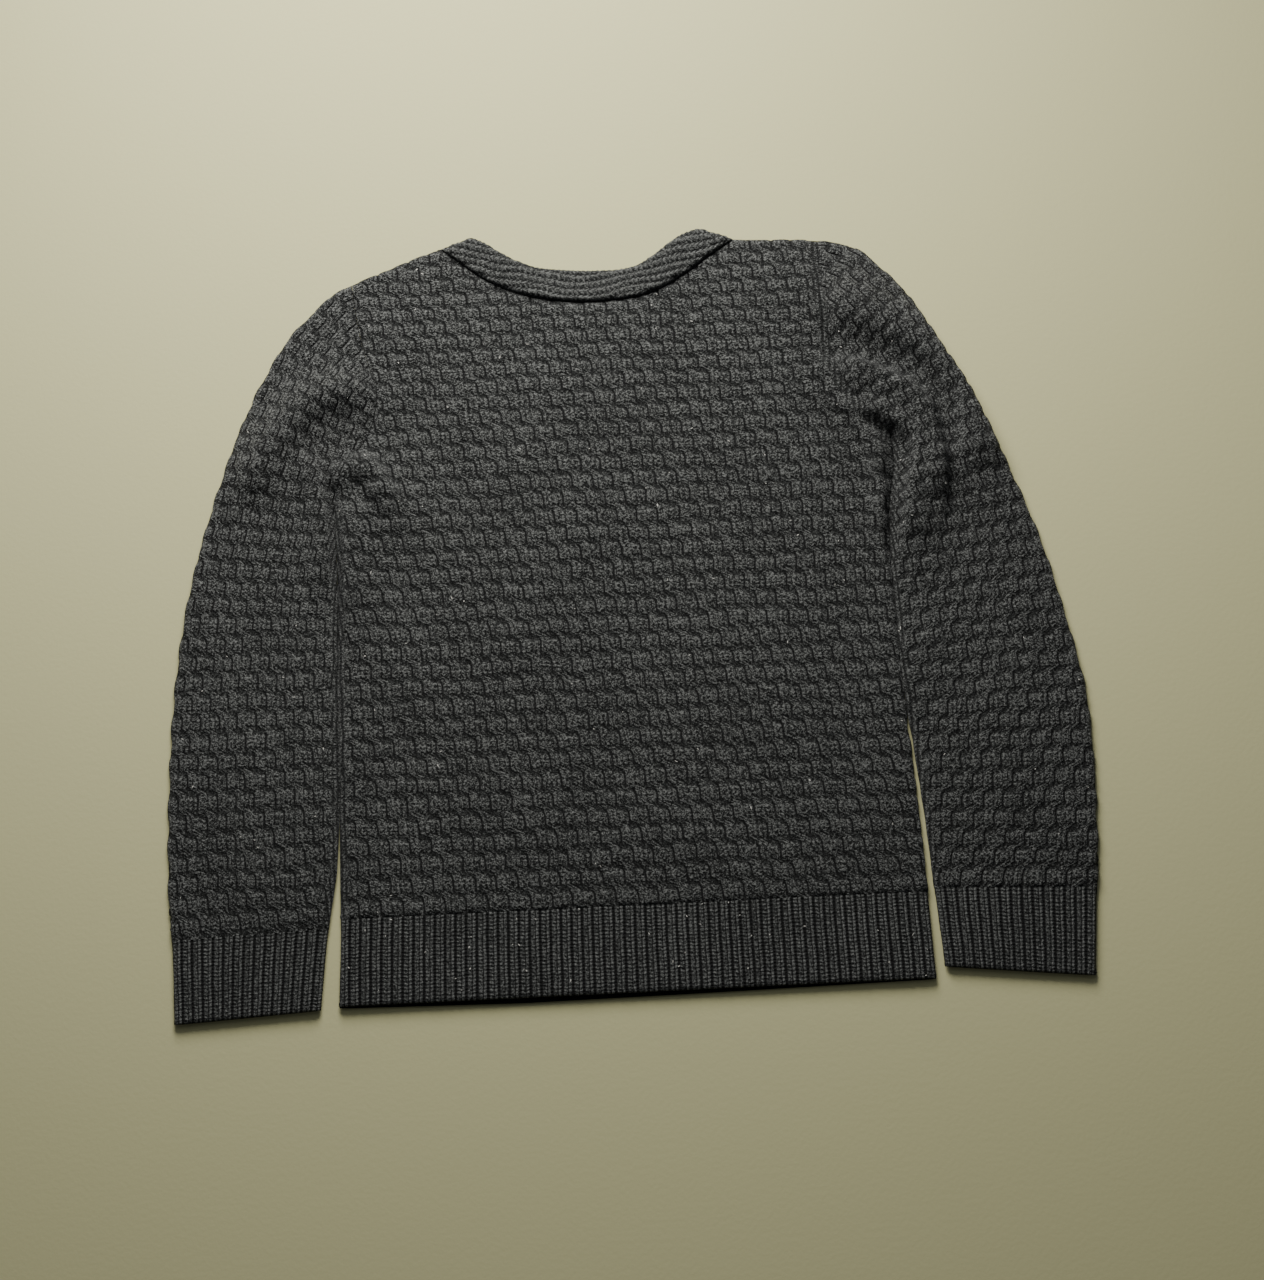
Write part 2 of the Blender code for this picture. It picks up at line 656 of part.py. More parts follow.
def shared_curves():
    names = ("BODY_LEFT", "BODY_RIGHT", "ARMHOLE_LEFT", "ARMHOLE_RIGHT", "SHOULDER_LEFT",
             "SHOULDER_RIGHT", "NECK_BACK", "NECK_BACK_TOP", "NECK_FRONT_LEFT",
             "NECK_FRONT_RIGHT", "NECK_INNER_LEFT", "NECK_INNER_RIGHT", "SLEEVE_LEFT_OUTER",
             "SLEEVE_LEFT_INNER", "SLEEVE_RIGHT_OUTER", "SLEEVE_RIGHT_INNER")
    return {name.lower(): smooth(globals()[name]) for name in names}


def body_edges(curve, neck):
    left = between_heights(curve["body_left"], HEM_DEPTH, curve["body_left"][-1, 1])
    right = between_heights(curve["body_right"], HEM_DEPTH, curve["body_right"][-1, 1])
    return [
        Edge("seam", straight(left[0], right[0])),
        Edge("fold", right),
        Edge("seam", curve["armhole_right"]),
        Edge("fold", curve["shoulder_right"]),
        *[Edge("seam", line) for line in neck],
        Edge("fold", curve["shoulder_left"][::-1]),
        Edge("seam", curve["armhole_left"][::-1]),
        Edge("fold", left[::-1]),
    ]


def make_back(curve):
    edges = body_edges(curve, [curve["neck_back"][::-1]])
    loop, twin, _ = sampled(edges)
    knit = knit_inside(body_cells(), edges, loop, BODY_CELL_CLEAR)
    return panel(edges, UPPER_LAYER, knit, plain_points(edges, twin))


def make_front(curve):
    left, right = curve["neck_front_left"], curve["neck_front_right"]
    foot_left = np.array([PLACKET_LEFT, PLACKET_BOTTOM])
    foot_right = np.array([PLACKET_RIGHT, PLACKET_BOTTOM])
    neck = [right, straight(right[-1], foot_right), straight(foot_right, foot_left),
            straight(foot_left, left[-1]), left[::-1]]
    return panel(body_edges(curve, neck), LOWER_LAYER, PLAIN, NOWHERE)


def make_hem(curve, upper):
    left = between_heights(curve["body_left"], 0, HEM_DEPTH)
    right = between_heights(curve["body_right"], 0, HEM_DEPTH)
    low, high = straight(left[0], right[0]), straight(left[-1], right[-1])
    edges = [Edge("free", low), Edge("fold", right), Edge("seam", high[::-1]),
             Edge("fold", left[::-1])]
    if not upper:
        return panel(edges, LOWER_LAYER, PLAIN, NOWHERE)
    _, twin, _ = sampled(edges)
    knit = rib_knit(low, high, BACK_RIBS, edges)
    return panel(edges, UPPER_LAYER, knit, plain_points(edges, twin))


def make_sleeve(curve, side):
    outer, inner = curve[f"sleeve_{side}_outer"], curve[f"sleeve_{side}_inner"]
    armhole = curve[f"armhole_{side}"]
    outer_foot, inner_foot = CUFF_TOPS[side]
    outer = between_heights(outer, outer_foot, outer[0, 1])
    inner = between_heights(inner, inner_foot, inner[0, 1])
    if side == "left":
        edges = [Edge("seam", straight(outer[-1], inner[-1])), Edge("fold", inner[::-1]),
                 Edge("seam", armhole), Edge("fold", outer)]
        knit = sleeve_cells(outer, SLEEVE_LEFT_KNIT, 1)
    else:
        edges = [Edge("seam", straight(inner[-1], outer[-1])), Edge("fold", outer[::-1]),
                 Edge("seam", armhole[::-1]), Edge("fold", inner)]
        knit = sleeve_cells(outer, SLEEVE_RIGHT_KNIT, -1)
    loop, twin, _ = sampled(edges)
    knit = knit_inside(knit, edges, loop, SLEEVE_CELL_CLEAR)
    return tube(edges, knit, plain_points(edges, twin))


def make_cuff(curve, side):
    outer, inner = curve[f"sleeve_{side}_outer"], curve[f"sleeve_{side}_inner"]
    outer_top, inner_top = CUFF_TOPS[side]
    outer = between_heights(outer, outer[-1, 1], outer_top)
    inner = between_heights(inner, inner[-1, 1], inner_top)
    outer = outer if outer[0, 1] < outer[-1, 1] else outer[::-1]
    inner = inner if inner[0, 1] < inner[-1, 1] else inner[::-1]
    left, right = (outer, inner) if side == "left" else (inner, outer)
    low, high = straight(left[0], right[0]), straight(left[-1], right[-1])
    edges = [Edge("free", low), Edge("fold", right), Edge("seam", high[::-1]),
             Edge("fold", left[::-1])]
    return tube(edges, rib_knit(low, high, CUFF_RIBS, edges), NOWHERE)


def make_neckband_back(curve):
    seam, top = curve["neck_back"], curve["neck_back_top"]
    edges = [Edge("seam", seam), Edge("fold", straight(seam[-1], top[-1])),
             Edge("neck", top[::-1]), Edge("fold", straight(top[0], seam[0]))]
    loop, _, _ = sampled(edges)
    steps = 2 * NECKBAND_RIDGES
    stations = np.linspace(0, 1, NECKBAND_STATIONS)[1:-1]
    places, reliefs = [], []
    for k in range(1, steps):
        low = along(seam, stations * lengths(seam)[-1])
        high = along(top, stations * lengths(top)[-1])
        places.append(low + (high - low) * k / steps)
        reliefs += [NECKBAND_RELIEF * (1 if k % 2 else -1)] * len(stations)
    places, reliefs = np.vstack(places), np.array(reliefs)
    keep = inside_outline(places, loop)
    for kind in ("seam", "neck", "fold"):
        keep &= edge_distance(places, edges, kind) > NECKBAND_CLEAR
    layer = UPPER_LAYER._replace(proud=NECKBAND_PROUD)
    return panel(edges, layer, Knitted(places[keep], reliefs[keep], []), NOWHERE)


def make_neckband_front(curve, side):
    seam, inner = curve[f"neck_front_{side}"], curve[f"neck_inner_{side}"]
    end = Edge("seam", straight(seam[-1], inner[-1]))
    fold = Edge("fold", straight(inner[0], seam[0]))
    edges = [Edge("seam", seam), end, Edge("free", inner[::-1]), fold]
    if side == "right":
        edges = [Edge(e.kind, e.line[::-1]) for e in edges[::-1]]
    return panel(edges, LOWER_LAYER, PLAIN, NOWHERE)


# ---- From solids to objects ----

def material(name, colour, roughness):
    made = bpy.data.materials.new(name)
    made.use_nodes = True
    shader = made.node_tree.nodes["Principled BSDF"]
    shader.inputs["Base Color"].default_value = (*colour, 1.0)
    shader.inputs["Roughness"].default_value = roughness
    shader.inputs["Metallic"].default_value = 0.0
    made.diffuse_color = (*colour, 1.0)
    return made


WOOL = (0.016, 0.016, 0.015)
HORN = (0.012, 0.010, 0.009)


def add_object(name, mesh, colour, roughness, collection):
    made = bpy.data.objects.new(name, mesh)
    mesh.materials.append(material(name, colour, roughness))
    collection.objects.link(made)
    return made


def add_solid(name, solid, collection):
    mesh = bpy.data.meshes.new(name)
    mesh.from_pydata([(x * MM, y * MM, z * MM) for x, y, z in solid.points], [], solid.faces)
    mesh.validate()
    mesh.update()
    return add_object(name, mesh, WOOL, 0.95, collection)


def add_block(name, low, high, collection):
    """A plain flat strip, such as one of the placket's bands."""
    mesh = bpy.data.meshes.new(name)
    grid = bmesh.new()
    bmesh.ops.create_cube(grid, size=1.0)
    size = [(b - a) * MM for a, b in zip(low, high)]
    bmesh.ops.scale(grid, vec=size, verts=grid.verts)
    middle = [(a + b) / 2 * MM for a, b in zip(low, high)]
    bmesh.ops.translate(grid, vec=middle, verts=grid.verts)
    grid.to_mesh(mesh)
    grid.free()
    return add_object(name, mesh, WOOL, 0.95, collection)


def add_cylinder(name, radius, low, high, x, y, sides, collection):
    mesh = bpy.data.meshes.new(name)
    grid = bmesh.new()
    bmesh.ops.create_cone(grid, cap_ends=True, segments=sides, radius1=radius * MM,
                          radius2=radius * MM, depth=(high - low) * MM)
    bmesh.ops.translate(grid, vec=(x * MM, y * MM, (low + high) / 2 * MM), verts=grid.verts)
    grid.to_mesh(mesh)
    grid.free()
    return add_object(name, mesh, HORN, 0.4, collection)


def add_button(name, x, y, collection, cutters):
    """A four-hole button with a softened rim, lying face down."""
    button = add_cylinder(name, BUTTON_RADIUS, 0, BUTTON_THICK, x, y, BUTTON_SIDES, collection)
    soften = button.modifiers.new("Rim", "BEVEL")
    soften.width = BUTTON_RIM * MM
    soften.segments = 1
    soften.limit_method = "ANGLE"
    soften.angle_limit = math.radians(60)
    for number, (across, up) in enumerate(((-1, -1), (1, -1), (1, 1), (-1, 1)), 1):
        hole = add_cylinder(f"{name}_hole_{number}", BUTTON_HOLE, -1, BUTTON_THICK + 1,
                            x + across * BUTTON_HOLE_OUT, y + up * BUTTON_HOLE_OUT, 6, cutters)
        hole.hide_render = True
        hole.display_type = "WIRE"
        cut = button.modifiers.new(f"Hole {number}", "BOOLEAN")
        cut.operation = "DIFFERENCE"
        cut.solver = "EXACT"
        cut.object = hole
    button.data.shade_smooth()
    button.data.set_sharp_from_angle(angle=math.radians(40))
    return button


def centre_on_footprint(garment, cutters):
    """Moves every mesh so that the footprint's middle is the origin."""
    points = np.array([tuple(v.co) for o in garment.objects for v in o.data.vertices])
    middle = (points.min(axis=0) + points.max(axis=0)) / 2
    for made in list(garment.objects) + list(cutters.objects):
        for vertex in made.data.vertices:
            vertex.co.x -= middle[0]
            vertex.co.y -= middle[1]


def main():
    for old in list(bpy.data.objects):
        bpy.data.objects.remove(old, do_unlink=True)
    garment = bpy.data.collections.new("henley_sweater")
    cutters = bpy.data.collections.new("cutters")
    for made in (garment, cutters):
        bpy.context.scene.collection.children.link(made)

    curve = shared_curves()
    add_solid("back", make_back(curve), garment)
    add_solid("front", make_front(curve), garment)
    add_solid("hem_back", make_hem(curve, True), garment)
    add_solid("hem_front", make_hem(curve, False), garment)
    for side in ("left", "right"):
        add_solid(f"sleeve_{side}", make_sleeve(curve, side), garment)
        add_solid(f"cuff_{side}", make_cuff(curve, side), garment)
        add_solid(f"neckband_front_{side}", make_neckband_front(curve, side), garment)
    add_solid("neckband_back", make_neckband_back(curve), garment)

    left, right = PLACKET_LEFT + SEAM_GAP, PLACKET_RIGHT - SEAM_GAP
    low, high = PLACKET_BOTTOM + SEAM_GAP, NECK_INNER_LEFT[-1].up
    outside = BUTTON_THICK + SEAM_GAP
    inside = outside + PLACKET_BAND + SEAM_GAP
    add_block("placket_buttonhole_band", (left, low, outside),
              (right, high, outside + PLACKET_BAND), garment)
    add_block("placket_button_band", (left, low, inside),
              (right, high, inside + PLACKET_BAND), garment)
    for number, y in enumerate(BUTTON_HEIGHTS, 1):
        add_button(f"button_{number}", (left + right) / 2, y, garment, cutters)
    centre_on_footprint(garment, cutters)


main()
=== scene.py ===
# Henley pullover in charcoal wool with a small all-over cable, laid flat with its back up.
# Lengths are millimetres in the hem's own frame: across, up to the neck, and above the floor.
import math

import bpy
import numpy as np
from mathutils import Matrix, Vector
from mathutils.geometry import delaunay_2d_cdt


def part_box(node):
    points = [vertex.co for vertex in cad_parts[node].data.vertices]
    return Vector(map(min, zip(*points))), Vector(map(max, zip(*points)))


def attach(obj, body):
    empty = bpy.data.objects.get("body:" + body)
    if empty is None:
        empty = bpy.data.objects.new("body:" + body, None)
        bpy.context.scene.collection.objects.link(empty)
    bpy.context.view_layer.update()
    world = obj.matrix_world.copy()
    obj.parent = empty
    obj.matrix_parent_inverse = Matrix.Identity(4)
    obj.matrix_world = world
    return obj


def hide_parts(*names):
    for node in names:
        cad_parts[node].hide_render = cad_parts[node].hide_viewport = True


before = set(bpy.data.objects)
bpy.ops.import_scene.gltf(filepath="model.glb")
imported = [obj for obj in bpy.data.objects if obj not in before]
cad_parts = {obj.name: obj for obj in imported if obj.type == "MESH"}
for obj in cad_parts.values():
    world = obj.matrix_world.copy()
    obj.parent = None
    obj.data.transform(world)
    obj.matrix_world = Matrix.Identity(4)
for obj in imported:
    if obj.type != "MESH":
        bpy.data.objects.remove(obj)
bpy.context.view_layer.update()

mm = 0.001
hemLow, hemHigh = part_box("hem_back")
hemMiddle = np.array([(hemLow.x + hemHigh.x) / 2, hemLow.y, 0.0])

cloth = {
    "wall": 3.0,         # the knit without its cables
    "layerGap": 0.6,     # between the front and the back
    "seamGap": 0.3,
    "joinGap": 0.04,     # where the rib is knitted on to the body
    "foldRound": 6.0,    # how far in from a folded edge the cloth rounds over
    "edgeStep": 2.0,     # spacing of the points along an outline
    "insideStep": 9.0,   # spacing of the points on a wall's plain inside
    "weltRound": 1.8,    # how far in from a free edge the hem and cuffs round over
    "neckRound": 5.0,    # the same on the neckband
    "lip": 0.22,         # share of the wall left right at a free edge
    "lipHeight": 0.45,   # where in the wall that lip lies
    "ringClear": 1.0,    # how much further off another edge a ring of points must be
    "insideClear": 3.0,  # how far the inside's points stay off its outline
    "sharpAngle": 75.0,
}
middleHeight = cloth["wall"] + cloth["layerGap"] / 2
backInside = cloth["wall"] + cloth["layerGap"]
backOutside = backInside + cloth["wall"]

outline = {
    "bodyLeft": [(-237, 0), (-234, 70), (-232.5, 160), (-230.5, 270), (-229.5, 360), (-231, 412)],
    "bodyRight": [(239, 0), (237, 70), (233, 160), (228.5, 260), (226.5, 330), (227.5, 385),
                  (231.5, 412), (235.5, 435), (234, 456)],
    "armholeLeft": [(-231, 412), (-221, 447), (-201, 476), (-192, 508), (-198, 535),
                    (-206, 569), (-211, 611)],
    "armholeRight": [(234, 456), (216, 476), (199, 501), (189, 530), (187, 562), (184, 596), (184, 632)],
    "shoulderLeft": [(-211, 611), (-183, 622), (-160, 631), (-135, 640)],
    "shoulderRight": [(184, 632), (160, 634), (137, 635), (113, 637)],
    "neckBack": [(-135, 640), (-120, 627), (-95, 608), (-64, 594), (-30, 587), (4, 586),
                 (38, 591), (65, 604), (91, 622), (113, 637)],
    "neckBackTop": [(-108, 649), (-96, 642), (-80, 631), (-56, 620), (-28, 616), (2, 614.5),
                    (28, 617), (46, 627), (66, 641), (85, 648)],
    "neckFrontLeft": [(-135, 640), (-124, 610), (-103, 577), (-70, 552), (-25, 541)],
    "neckFrontRight": [(113, 637), (103, 608), (82, 576), (50, 552), (5, 541)],
    "neckInnerLeft": [(-108, 649), (-99, 618), (-82, 594), (-57, 576), (-25, 567)],
    "neckInnerRight": [(85, 648), (77, 617), (61, 593), (36, 575), (5, 567)],
    "sleeveLeftOuter": [(-211, 611), (-227, 603), (-250, 582), (-270, 558), (-297, 510),
                        (-322, 447), (-340, 390), (-355, 328), (-365, 255), (-370, 175),
                        (-371, 100), (-369, 59), (-368, -8)],
    "sleeveLeftInner": [(-231, 412), (-229.8, 380), (-229.6, 320), (-230.6, 250), (-231.5, 200),
                        (-232.8, 152), (-236.0, 108), (-243.5, 63), (-251, -2)],
    "sleeveRightOuter": [(184, 632), (201, 629), (220, 621), (238, 603), (258, 578), (285, 528),
                         (305, 490), (331, 422), (352, 357), (367, 290), (377, 235), (379, 170),
                         (376, 95), (373, 67), (366, -4)],
    "sleeveRightInner": [(234, 456), (235.3, 435), (231.3, 412), (227.3, 385), (226.3, 330),
                         (228.3, 260), (230.4, 226), (234.4, 185), (239.5, 120), (242, 73),
                         (246, 9)],
}

# Folds of the upper layer: height, how far it falls away left and right of its run, and places.
folds = [
    (14.0, 20, 19, [(-310, 420), (-294, 448), (-272, 484), (-242, 509), (-214, 514), (-192, 505)]),
    (13.0, 9, 16, [(-232, 416), (-227, 436), (-214, 450), (-197, 444), (-187, 425), (-183, 398)]),
    (9.0, 8, 12, [(-262, 474), (-248, 444), (-241, 408), (-240, 380), (-241, 340)]),
    (8.0, 20, 7, [(-219, 434), (-219, 400), (-220, 360), (-221, 310)]),
    (4.0, 18, 26, [(-330, 470), (-345, 400), (-352, 300)]),
    (17.0, 7, 25, [(184, 519), (204, 518), (226, 508), (249, 496), (263, 482), (270, 460),
                   (272, 430), (269, 385)]),
    (13.5, 22, 7, [(190, 484), (210, 478), (231, 469), (248, 456), (254, 438), (251, 420),
                   (245, 400), (241, 350)]),
    (10.0, 10, 7, [(203, 474), (215, 455), (221, 434), (222, 410), (220, 360)]),
    (16.0, 30, 24, [(178, 588), (220, 565), (257, 537), (283, 500), (300, 455), (308, 410)]),
    (3.0, 12, 20, [(-205, 590), (-186, 560), (-176, 536)]),
    (3.0, 16, 10, [(174, 616), (176, 570), (174, 536)]),
    (2.2, 22, 30, [(-90, 470), (-60, 360), (-70, 250)]),
    (1.8, 30, 22, [(120, 420), (90, 330), (110, 220)]),
    (1.6, 26, 26, [(-150, 180), (-60, 130), (60, 120)]),
    (2.0, 10, 12, [(-316, 250), (-300, 170), (-310, 90)]),
    (2.0, 12, 10, [(300, 250), (310, 180), (300, 90)]),
]
# Hollows pressed into them: how much of the height is left out, how wide, and places.
hollows = [
    (0.95, 7.5, [(237, 447), (235, 430), (231, 412)]),
    (0.6, 4.0, [(231, 420), (228, 390), (227, 350)]),
    (0.7, 11.0, [(200, 538), (232, 527), (258, 512), (278, 486), (284, 450)]),
    (0.95, 5.0, [(-236, 434), (-232, 408), (-231, 392)]),
    (0.5, 3.5, [(-231, 392), (-231, 345)]),
    (0.30, 12.0, [(-262, 458), (-244, 478), (-224, 488), (-202, 486)]),
]
foldShape = {"fade": 34.0, "endShare": 0.3, "overlap": 0.25, "steps": 6}

placket = {
    "left": -25.0, "right": 5.0, "foot": 392.0, "top": 567.0,
    "moundHeight": 2.4, "moundMargin": 4.0, "moundFade": 45.0,
}
neckSag = {"depth": 3.0, "middle": (-10, 640), "reach": (74, 60), "steep": 1.25}


def smoothLine(points, steps=8):
    p = np.array(points, dtype=float)
    p = np.vstack([2 * p[0] - p[1], p, 2 * p[-1] - p[-2]])
    t = np.linspace(0, 1, steps, endpoint=False)[:, None]
    runs = []
    for a, b, c, d in zip(p, p[1:], p[2:], p[3:]):
        runs.append(0.5 * (2 * b + (c - a) * t + (2 * a - 5 * b + 4 * c - d) * t ** 2
                           + (3 * b - a - 3 * c + d) * t ** 3))
    return np.vstack(runs + [p[-2:-1]])


def lineLengths(line):
    return np.concatenate([[0], np.cumsum(np.linalg.norm(np.diff(line, axis=0), axis=1))])


def alongLine(line, distance):
    s = lineLengths(line)
    return np.column_stack([np.interp(distance, s, line[:, k]) for k in (0, 1)])


def stretchBetween(line, low, high):
    s, up = lineLengths(line), line[:, 1]
    order = np.argsort(up)
    ends = np.sort(np.interp([low, high], up[order], s[order]))
    inner = s[(s > ends[0] + 0.5) & (s < ends[1] - 0.5)]
    return alongLine(line, np.concatenate([[ends[0]], inner, [ends[1]]]))


def straightLine(a, b):
    return np.array([a, b], dtype=float)


def distanceTo(points, line):
    best = np.full(len(points), np.inf)
    for a, b in zip(line, line[1:]):
        run = b - a
        t = np.clip(((points - a) @ run) / max(run @ run, 1e-12), 0, 1)
        off = points - a - t[:, None] * run
        best = np.minimum(best, off[:, 0] ** 2 + off[:, 1] ** 2)
    return np.sqrt(best)


def cross(a, b):
    return a[..., 0] * b[..., 1] - a[..., 1] * b[..., 0]


def inwardNormals(line):
    run = np.gradient(line, axis=0)
    run /= np.linalg.norm(run, axis=1)[:, None]
    return np.column_stack([-run[:, 1], run[:, 0]])


def insideOutline(points, loop):
    x, y = points[:, 0], points[:, 1]
    hit = np.zeros(len(points), dtype=bool)
    for (x1, y1), (x2, y2) in zip(loop, np.roll(loop, -1, axis=0)):
        if y1 != y2:
            hit ^= ((y1 > y) != (y2 > y)) & (x < x1 + (y - y1) * (x2 - x1) / (y2 - y1))
    return hit


def roundOver(t):
    return np.sqrt(1 - (1 - np.clip(t, 0, 1)) ** 2)


def softStep(value, low, high):
    t = np.clip((value - low) / (high - low), 0, 1)
    return t * t * (3 - 2 * t)


def softBox(value, low, high, fade):
    return softStep(value, low - fade, low) * (1 - softStep(value, high, high + fade))


curve = {name: smoothLine(points) for name, points in outline.items()}


def ridgeHeight(points, fold):
    height, left, right, places = fold
    line = smoothLine(places, foldShape["steps"])
    s = lineLengths(line)
    best = np.full(len(points), np.inf)
    side = np.zeros(len(points))
    travelled = np.zeros(len(points))
    for k, (a, b) in enumerate(zip(line, line[1:])):
        run = b - a
        t = np.clip(((points - a) @ run) / (run @ run), 0, 1)
        off = points - a - t[:, None] * run
        far = np.hypot(off[:, 0], off[:, 1])
        near = far < best
        best[near] = far[near]
        side[near] = cross(run, off)[near]
        travelled[near] = s[k] + t[near] * (s[k + 1] - s[k])
    width = np.where(side > 0, left, right)
    ends = softStep(np.minimum(travelled, s[-1] - travelled), 0, foldShape["fade"])
    return height * (foldShape["endShare"] + (1 - foldShape["endShare"]) * ends) \
        * np.exp(-(best / width) ** 2)


def upperLift(points):
    total = np.zeros(len(points))
    for fold in folds:
        ridge = ridgeHeight(points, fold)
        total = np.maximum(total, ridge) + foldShape["overlap"] * np.minimum(total, ridge)
    for share, width, places in hollows:
        off = distanceTo(points, smoothLine(places, foldShape["steps"]))
        total = total * (1 - share * np.exp(-(off / width) ** 2))
    x, y = points[:, 0], points[:, 1]
    margin = placket["moundMargin"]
    mound = placket["moundHeight"] \
        * softBox(x, placket["left"] - margin, placket["right"] + margin, placket["moundFade"]) \
        * softBox(y, placket["foot"] - margin, placket["top"], placket["moundFade"])
    (midX, midY), (reachX, reachY) = neckSag["middle"], neckSag["reach"]
    hole = ((x - midX) / reachX) ** 2 + ((y - midY) / reachY) ** 2
    return total + mound - neckSag["depth"] * np.clip(neckSag["steep"] * (1 - hole), 0, 1)


def linkObject(name, data):
    made = bpy.data.objects.new(name, data)
    bpy.context.scene.collection.objects.link(made)
    return made


def makeObject(name, points, faces, layers):
    mesh = bpy.data.meshes.new(name)
    place = np.array(points) * mm + hemMiddle
    mesh.from_pydata(place.tolist(), [], faces)
    for layer, (kind, values) in layers.items():
        made = mesh.attributes.new(layer, kind, "POINT")
        field = "vector" if kind == "FLOAT_VECTOR" else "value"
        made.data.foreach_set(field, np.array(values, dtype=np.float32).ravel())
    mesh.polygons.foreach_set("use_smooth", [True] * len(mesh.polygons))
    mesh.update()
    return linkObject(name, mesh)


# Collects the points, faces and knit coordinates of one closed wall of cloth.
class Shell:
    def __init__(self):
        self.points, self.faces, self.knit, self.relief = [], [], [], []
        self.count = 0

    def add(self, place, height, knit, relief):
        first = self.count
        self.points.append(np.column_stack([place, height]))
        self.knit.append(knit)
        self.relief.append(relief)
        self.count += len(place)
        return np.arange(first, self.count)

    def strip(self, first, second, closed=True):
        count = len(first)
        for k in range(count if closed else count - 1):
            n = (k + 1) % count
            self.faces.append((first[k], second[k], second[n], first[n]))

    def make(self, name):
        relief = np.vstack(self.relief)
        return makeObject(name, np.vstack(self.points), self.faces, {
            "lattice": ("FLOAT_VECTOR", np.vstack(self.knit)),
            "raise": ("FLOAT", relief[:, 0]),
            "sunk": ("FLOAT", relief[:, 1]),
        })


def edgeDistance(points, edges, kind):
    lines = [line for k, line in edges if k == kind]
    if not lines:
        return np.full(len(points), 1e3)
    return np.min([distanceTo(points, line) for line in lines], axis=0)


# The outline's points, their twins on the wall's inner side, and which lie on a fold.
def sampleOutline(edges):
    outer, inner, folded = [], [], []
    count, wall = len(edges), cloth["wall"]
    gaps = {"seam": cloth["seamGap"] / 2, "join": cloth["joinGap"] / 2}
    for k, (kind, line) in enumerate(edges):
        before, after = edges[k - 1][0], edges[(k + 1) % count][0]
        total = lineLengths(line)[-1]
        s = np.linspace(0, total, max(2, round(total / cloth["edgeStep"])) + 1)
        points = alongLine(line, s)
        normals = inwardNormals(points)
        if kind == "fold":
            inside = points + normals * wall
        else:
            start = wall if before == "fold" else 0.0
            end = wall if after == "fold" else 0.0
            inside = alongLine(line, start + s * (total - start - end) / total)
            if kind in gaps:
                points, inside = points + normals * gaps[kind], inside + normals * gaps[kind]
        outer.append(points)
        inner.append(inside)
        folded.append(kind == "fold")
    loop, twin, shared = [], [], []
    for k in range(count):
        n = (k + 1) % count
        corner = inner[n][0] if folded[k] else inner[k][-1]
        loop += list(outer[k][1:-1]) + [(outer[k][-1] + outer[n][0]) / 2]
        twin += list(inner[k][1:-1]) + [corner]
        shared += [folded[k]] * (len(outer[k]) - 2) + [folded[k] or folded[n]]
    return np.array(loop), np.array(twin), np.array(shared)


clearOf = {"fold": 6.6, "seam": 1.4, "join": 1.2, "free": 2.2, "neck": 3.2}
ringsOf = {"fold": (0.25, 0.9, 1.9, 3.2, 4.8), "seam": (), "join": (), "free": (0.3, 1.1),
           "neck": (0.3, 1.0, 2.0)}


def ringPoints(edges):
    found = []
    for k, (kind, line) in enumerate(edges):
        total = lineLengths(line)[-1]
        points = alongLine(line, np.linspace(0, total, max(3, round(total / cloth["edgeStep"]))))
        points, normals = points[1:-1], inwardNormals(points)[1:-1]
        others = [other for j, (_, other) in enumerate(edges) if j != k]
        for inset in ringsOf[kind]:
            ring = points + normals * inset
            clear = np.min([distanceTo(ring, other) for other in others], axis=0)
            found.append(ring[clear > inset + cloth["ringClear"]])
    return np.vstack(found) if found else np.zeros((0, 2))


def closedTies(count):
    return [(k, (k + 1) % count) for k in range(count)]


def triangulate(points, ties):
    made = delaunay_2d_cdt([tuple(p) for p in points], ties, [], 1, 0.01)
    verts = np.array([tuple(v) for v in made[0]])
    place = np.zeros(len(points), dtype=int)
    for new, sources in enumerate(made[3]):
        for source in sources:
            place[source] = new
    return verts, np.array([tuple(f) for f in made[2]]), place


# Drops quads that would leave the patch joined at a corner only.
def openQuads(keep):
    for _ in range(4):
        sides = np.zeros(keep.shape, dtype=int)
        sides[1:] += keep[:-1]
        sides[:-1] += keep[1:]
        sides[:, 1:] += keep[:, :-1]
        sides[:, :-1] += keep[:, 1:]
        keep &= sides >= 2
    a, b, c, d = keep[:-1, :-1], keep[:-1, 1:], keep[1:, :-1], keep[1:, 1:]
    rising = a & d & ~b & ~c
    falling = b & c & ~a & ~d
    keep[1:, 1:] &= ~rising
    keep[1:, :-1] &= ~falling
    return keep


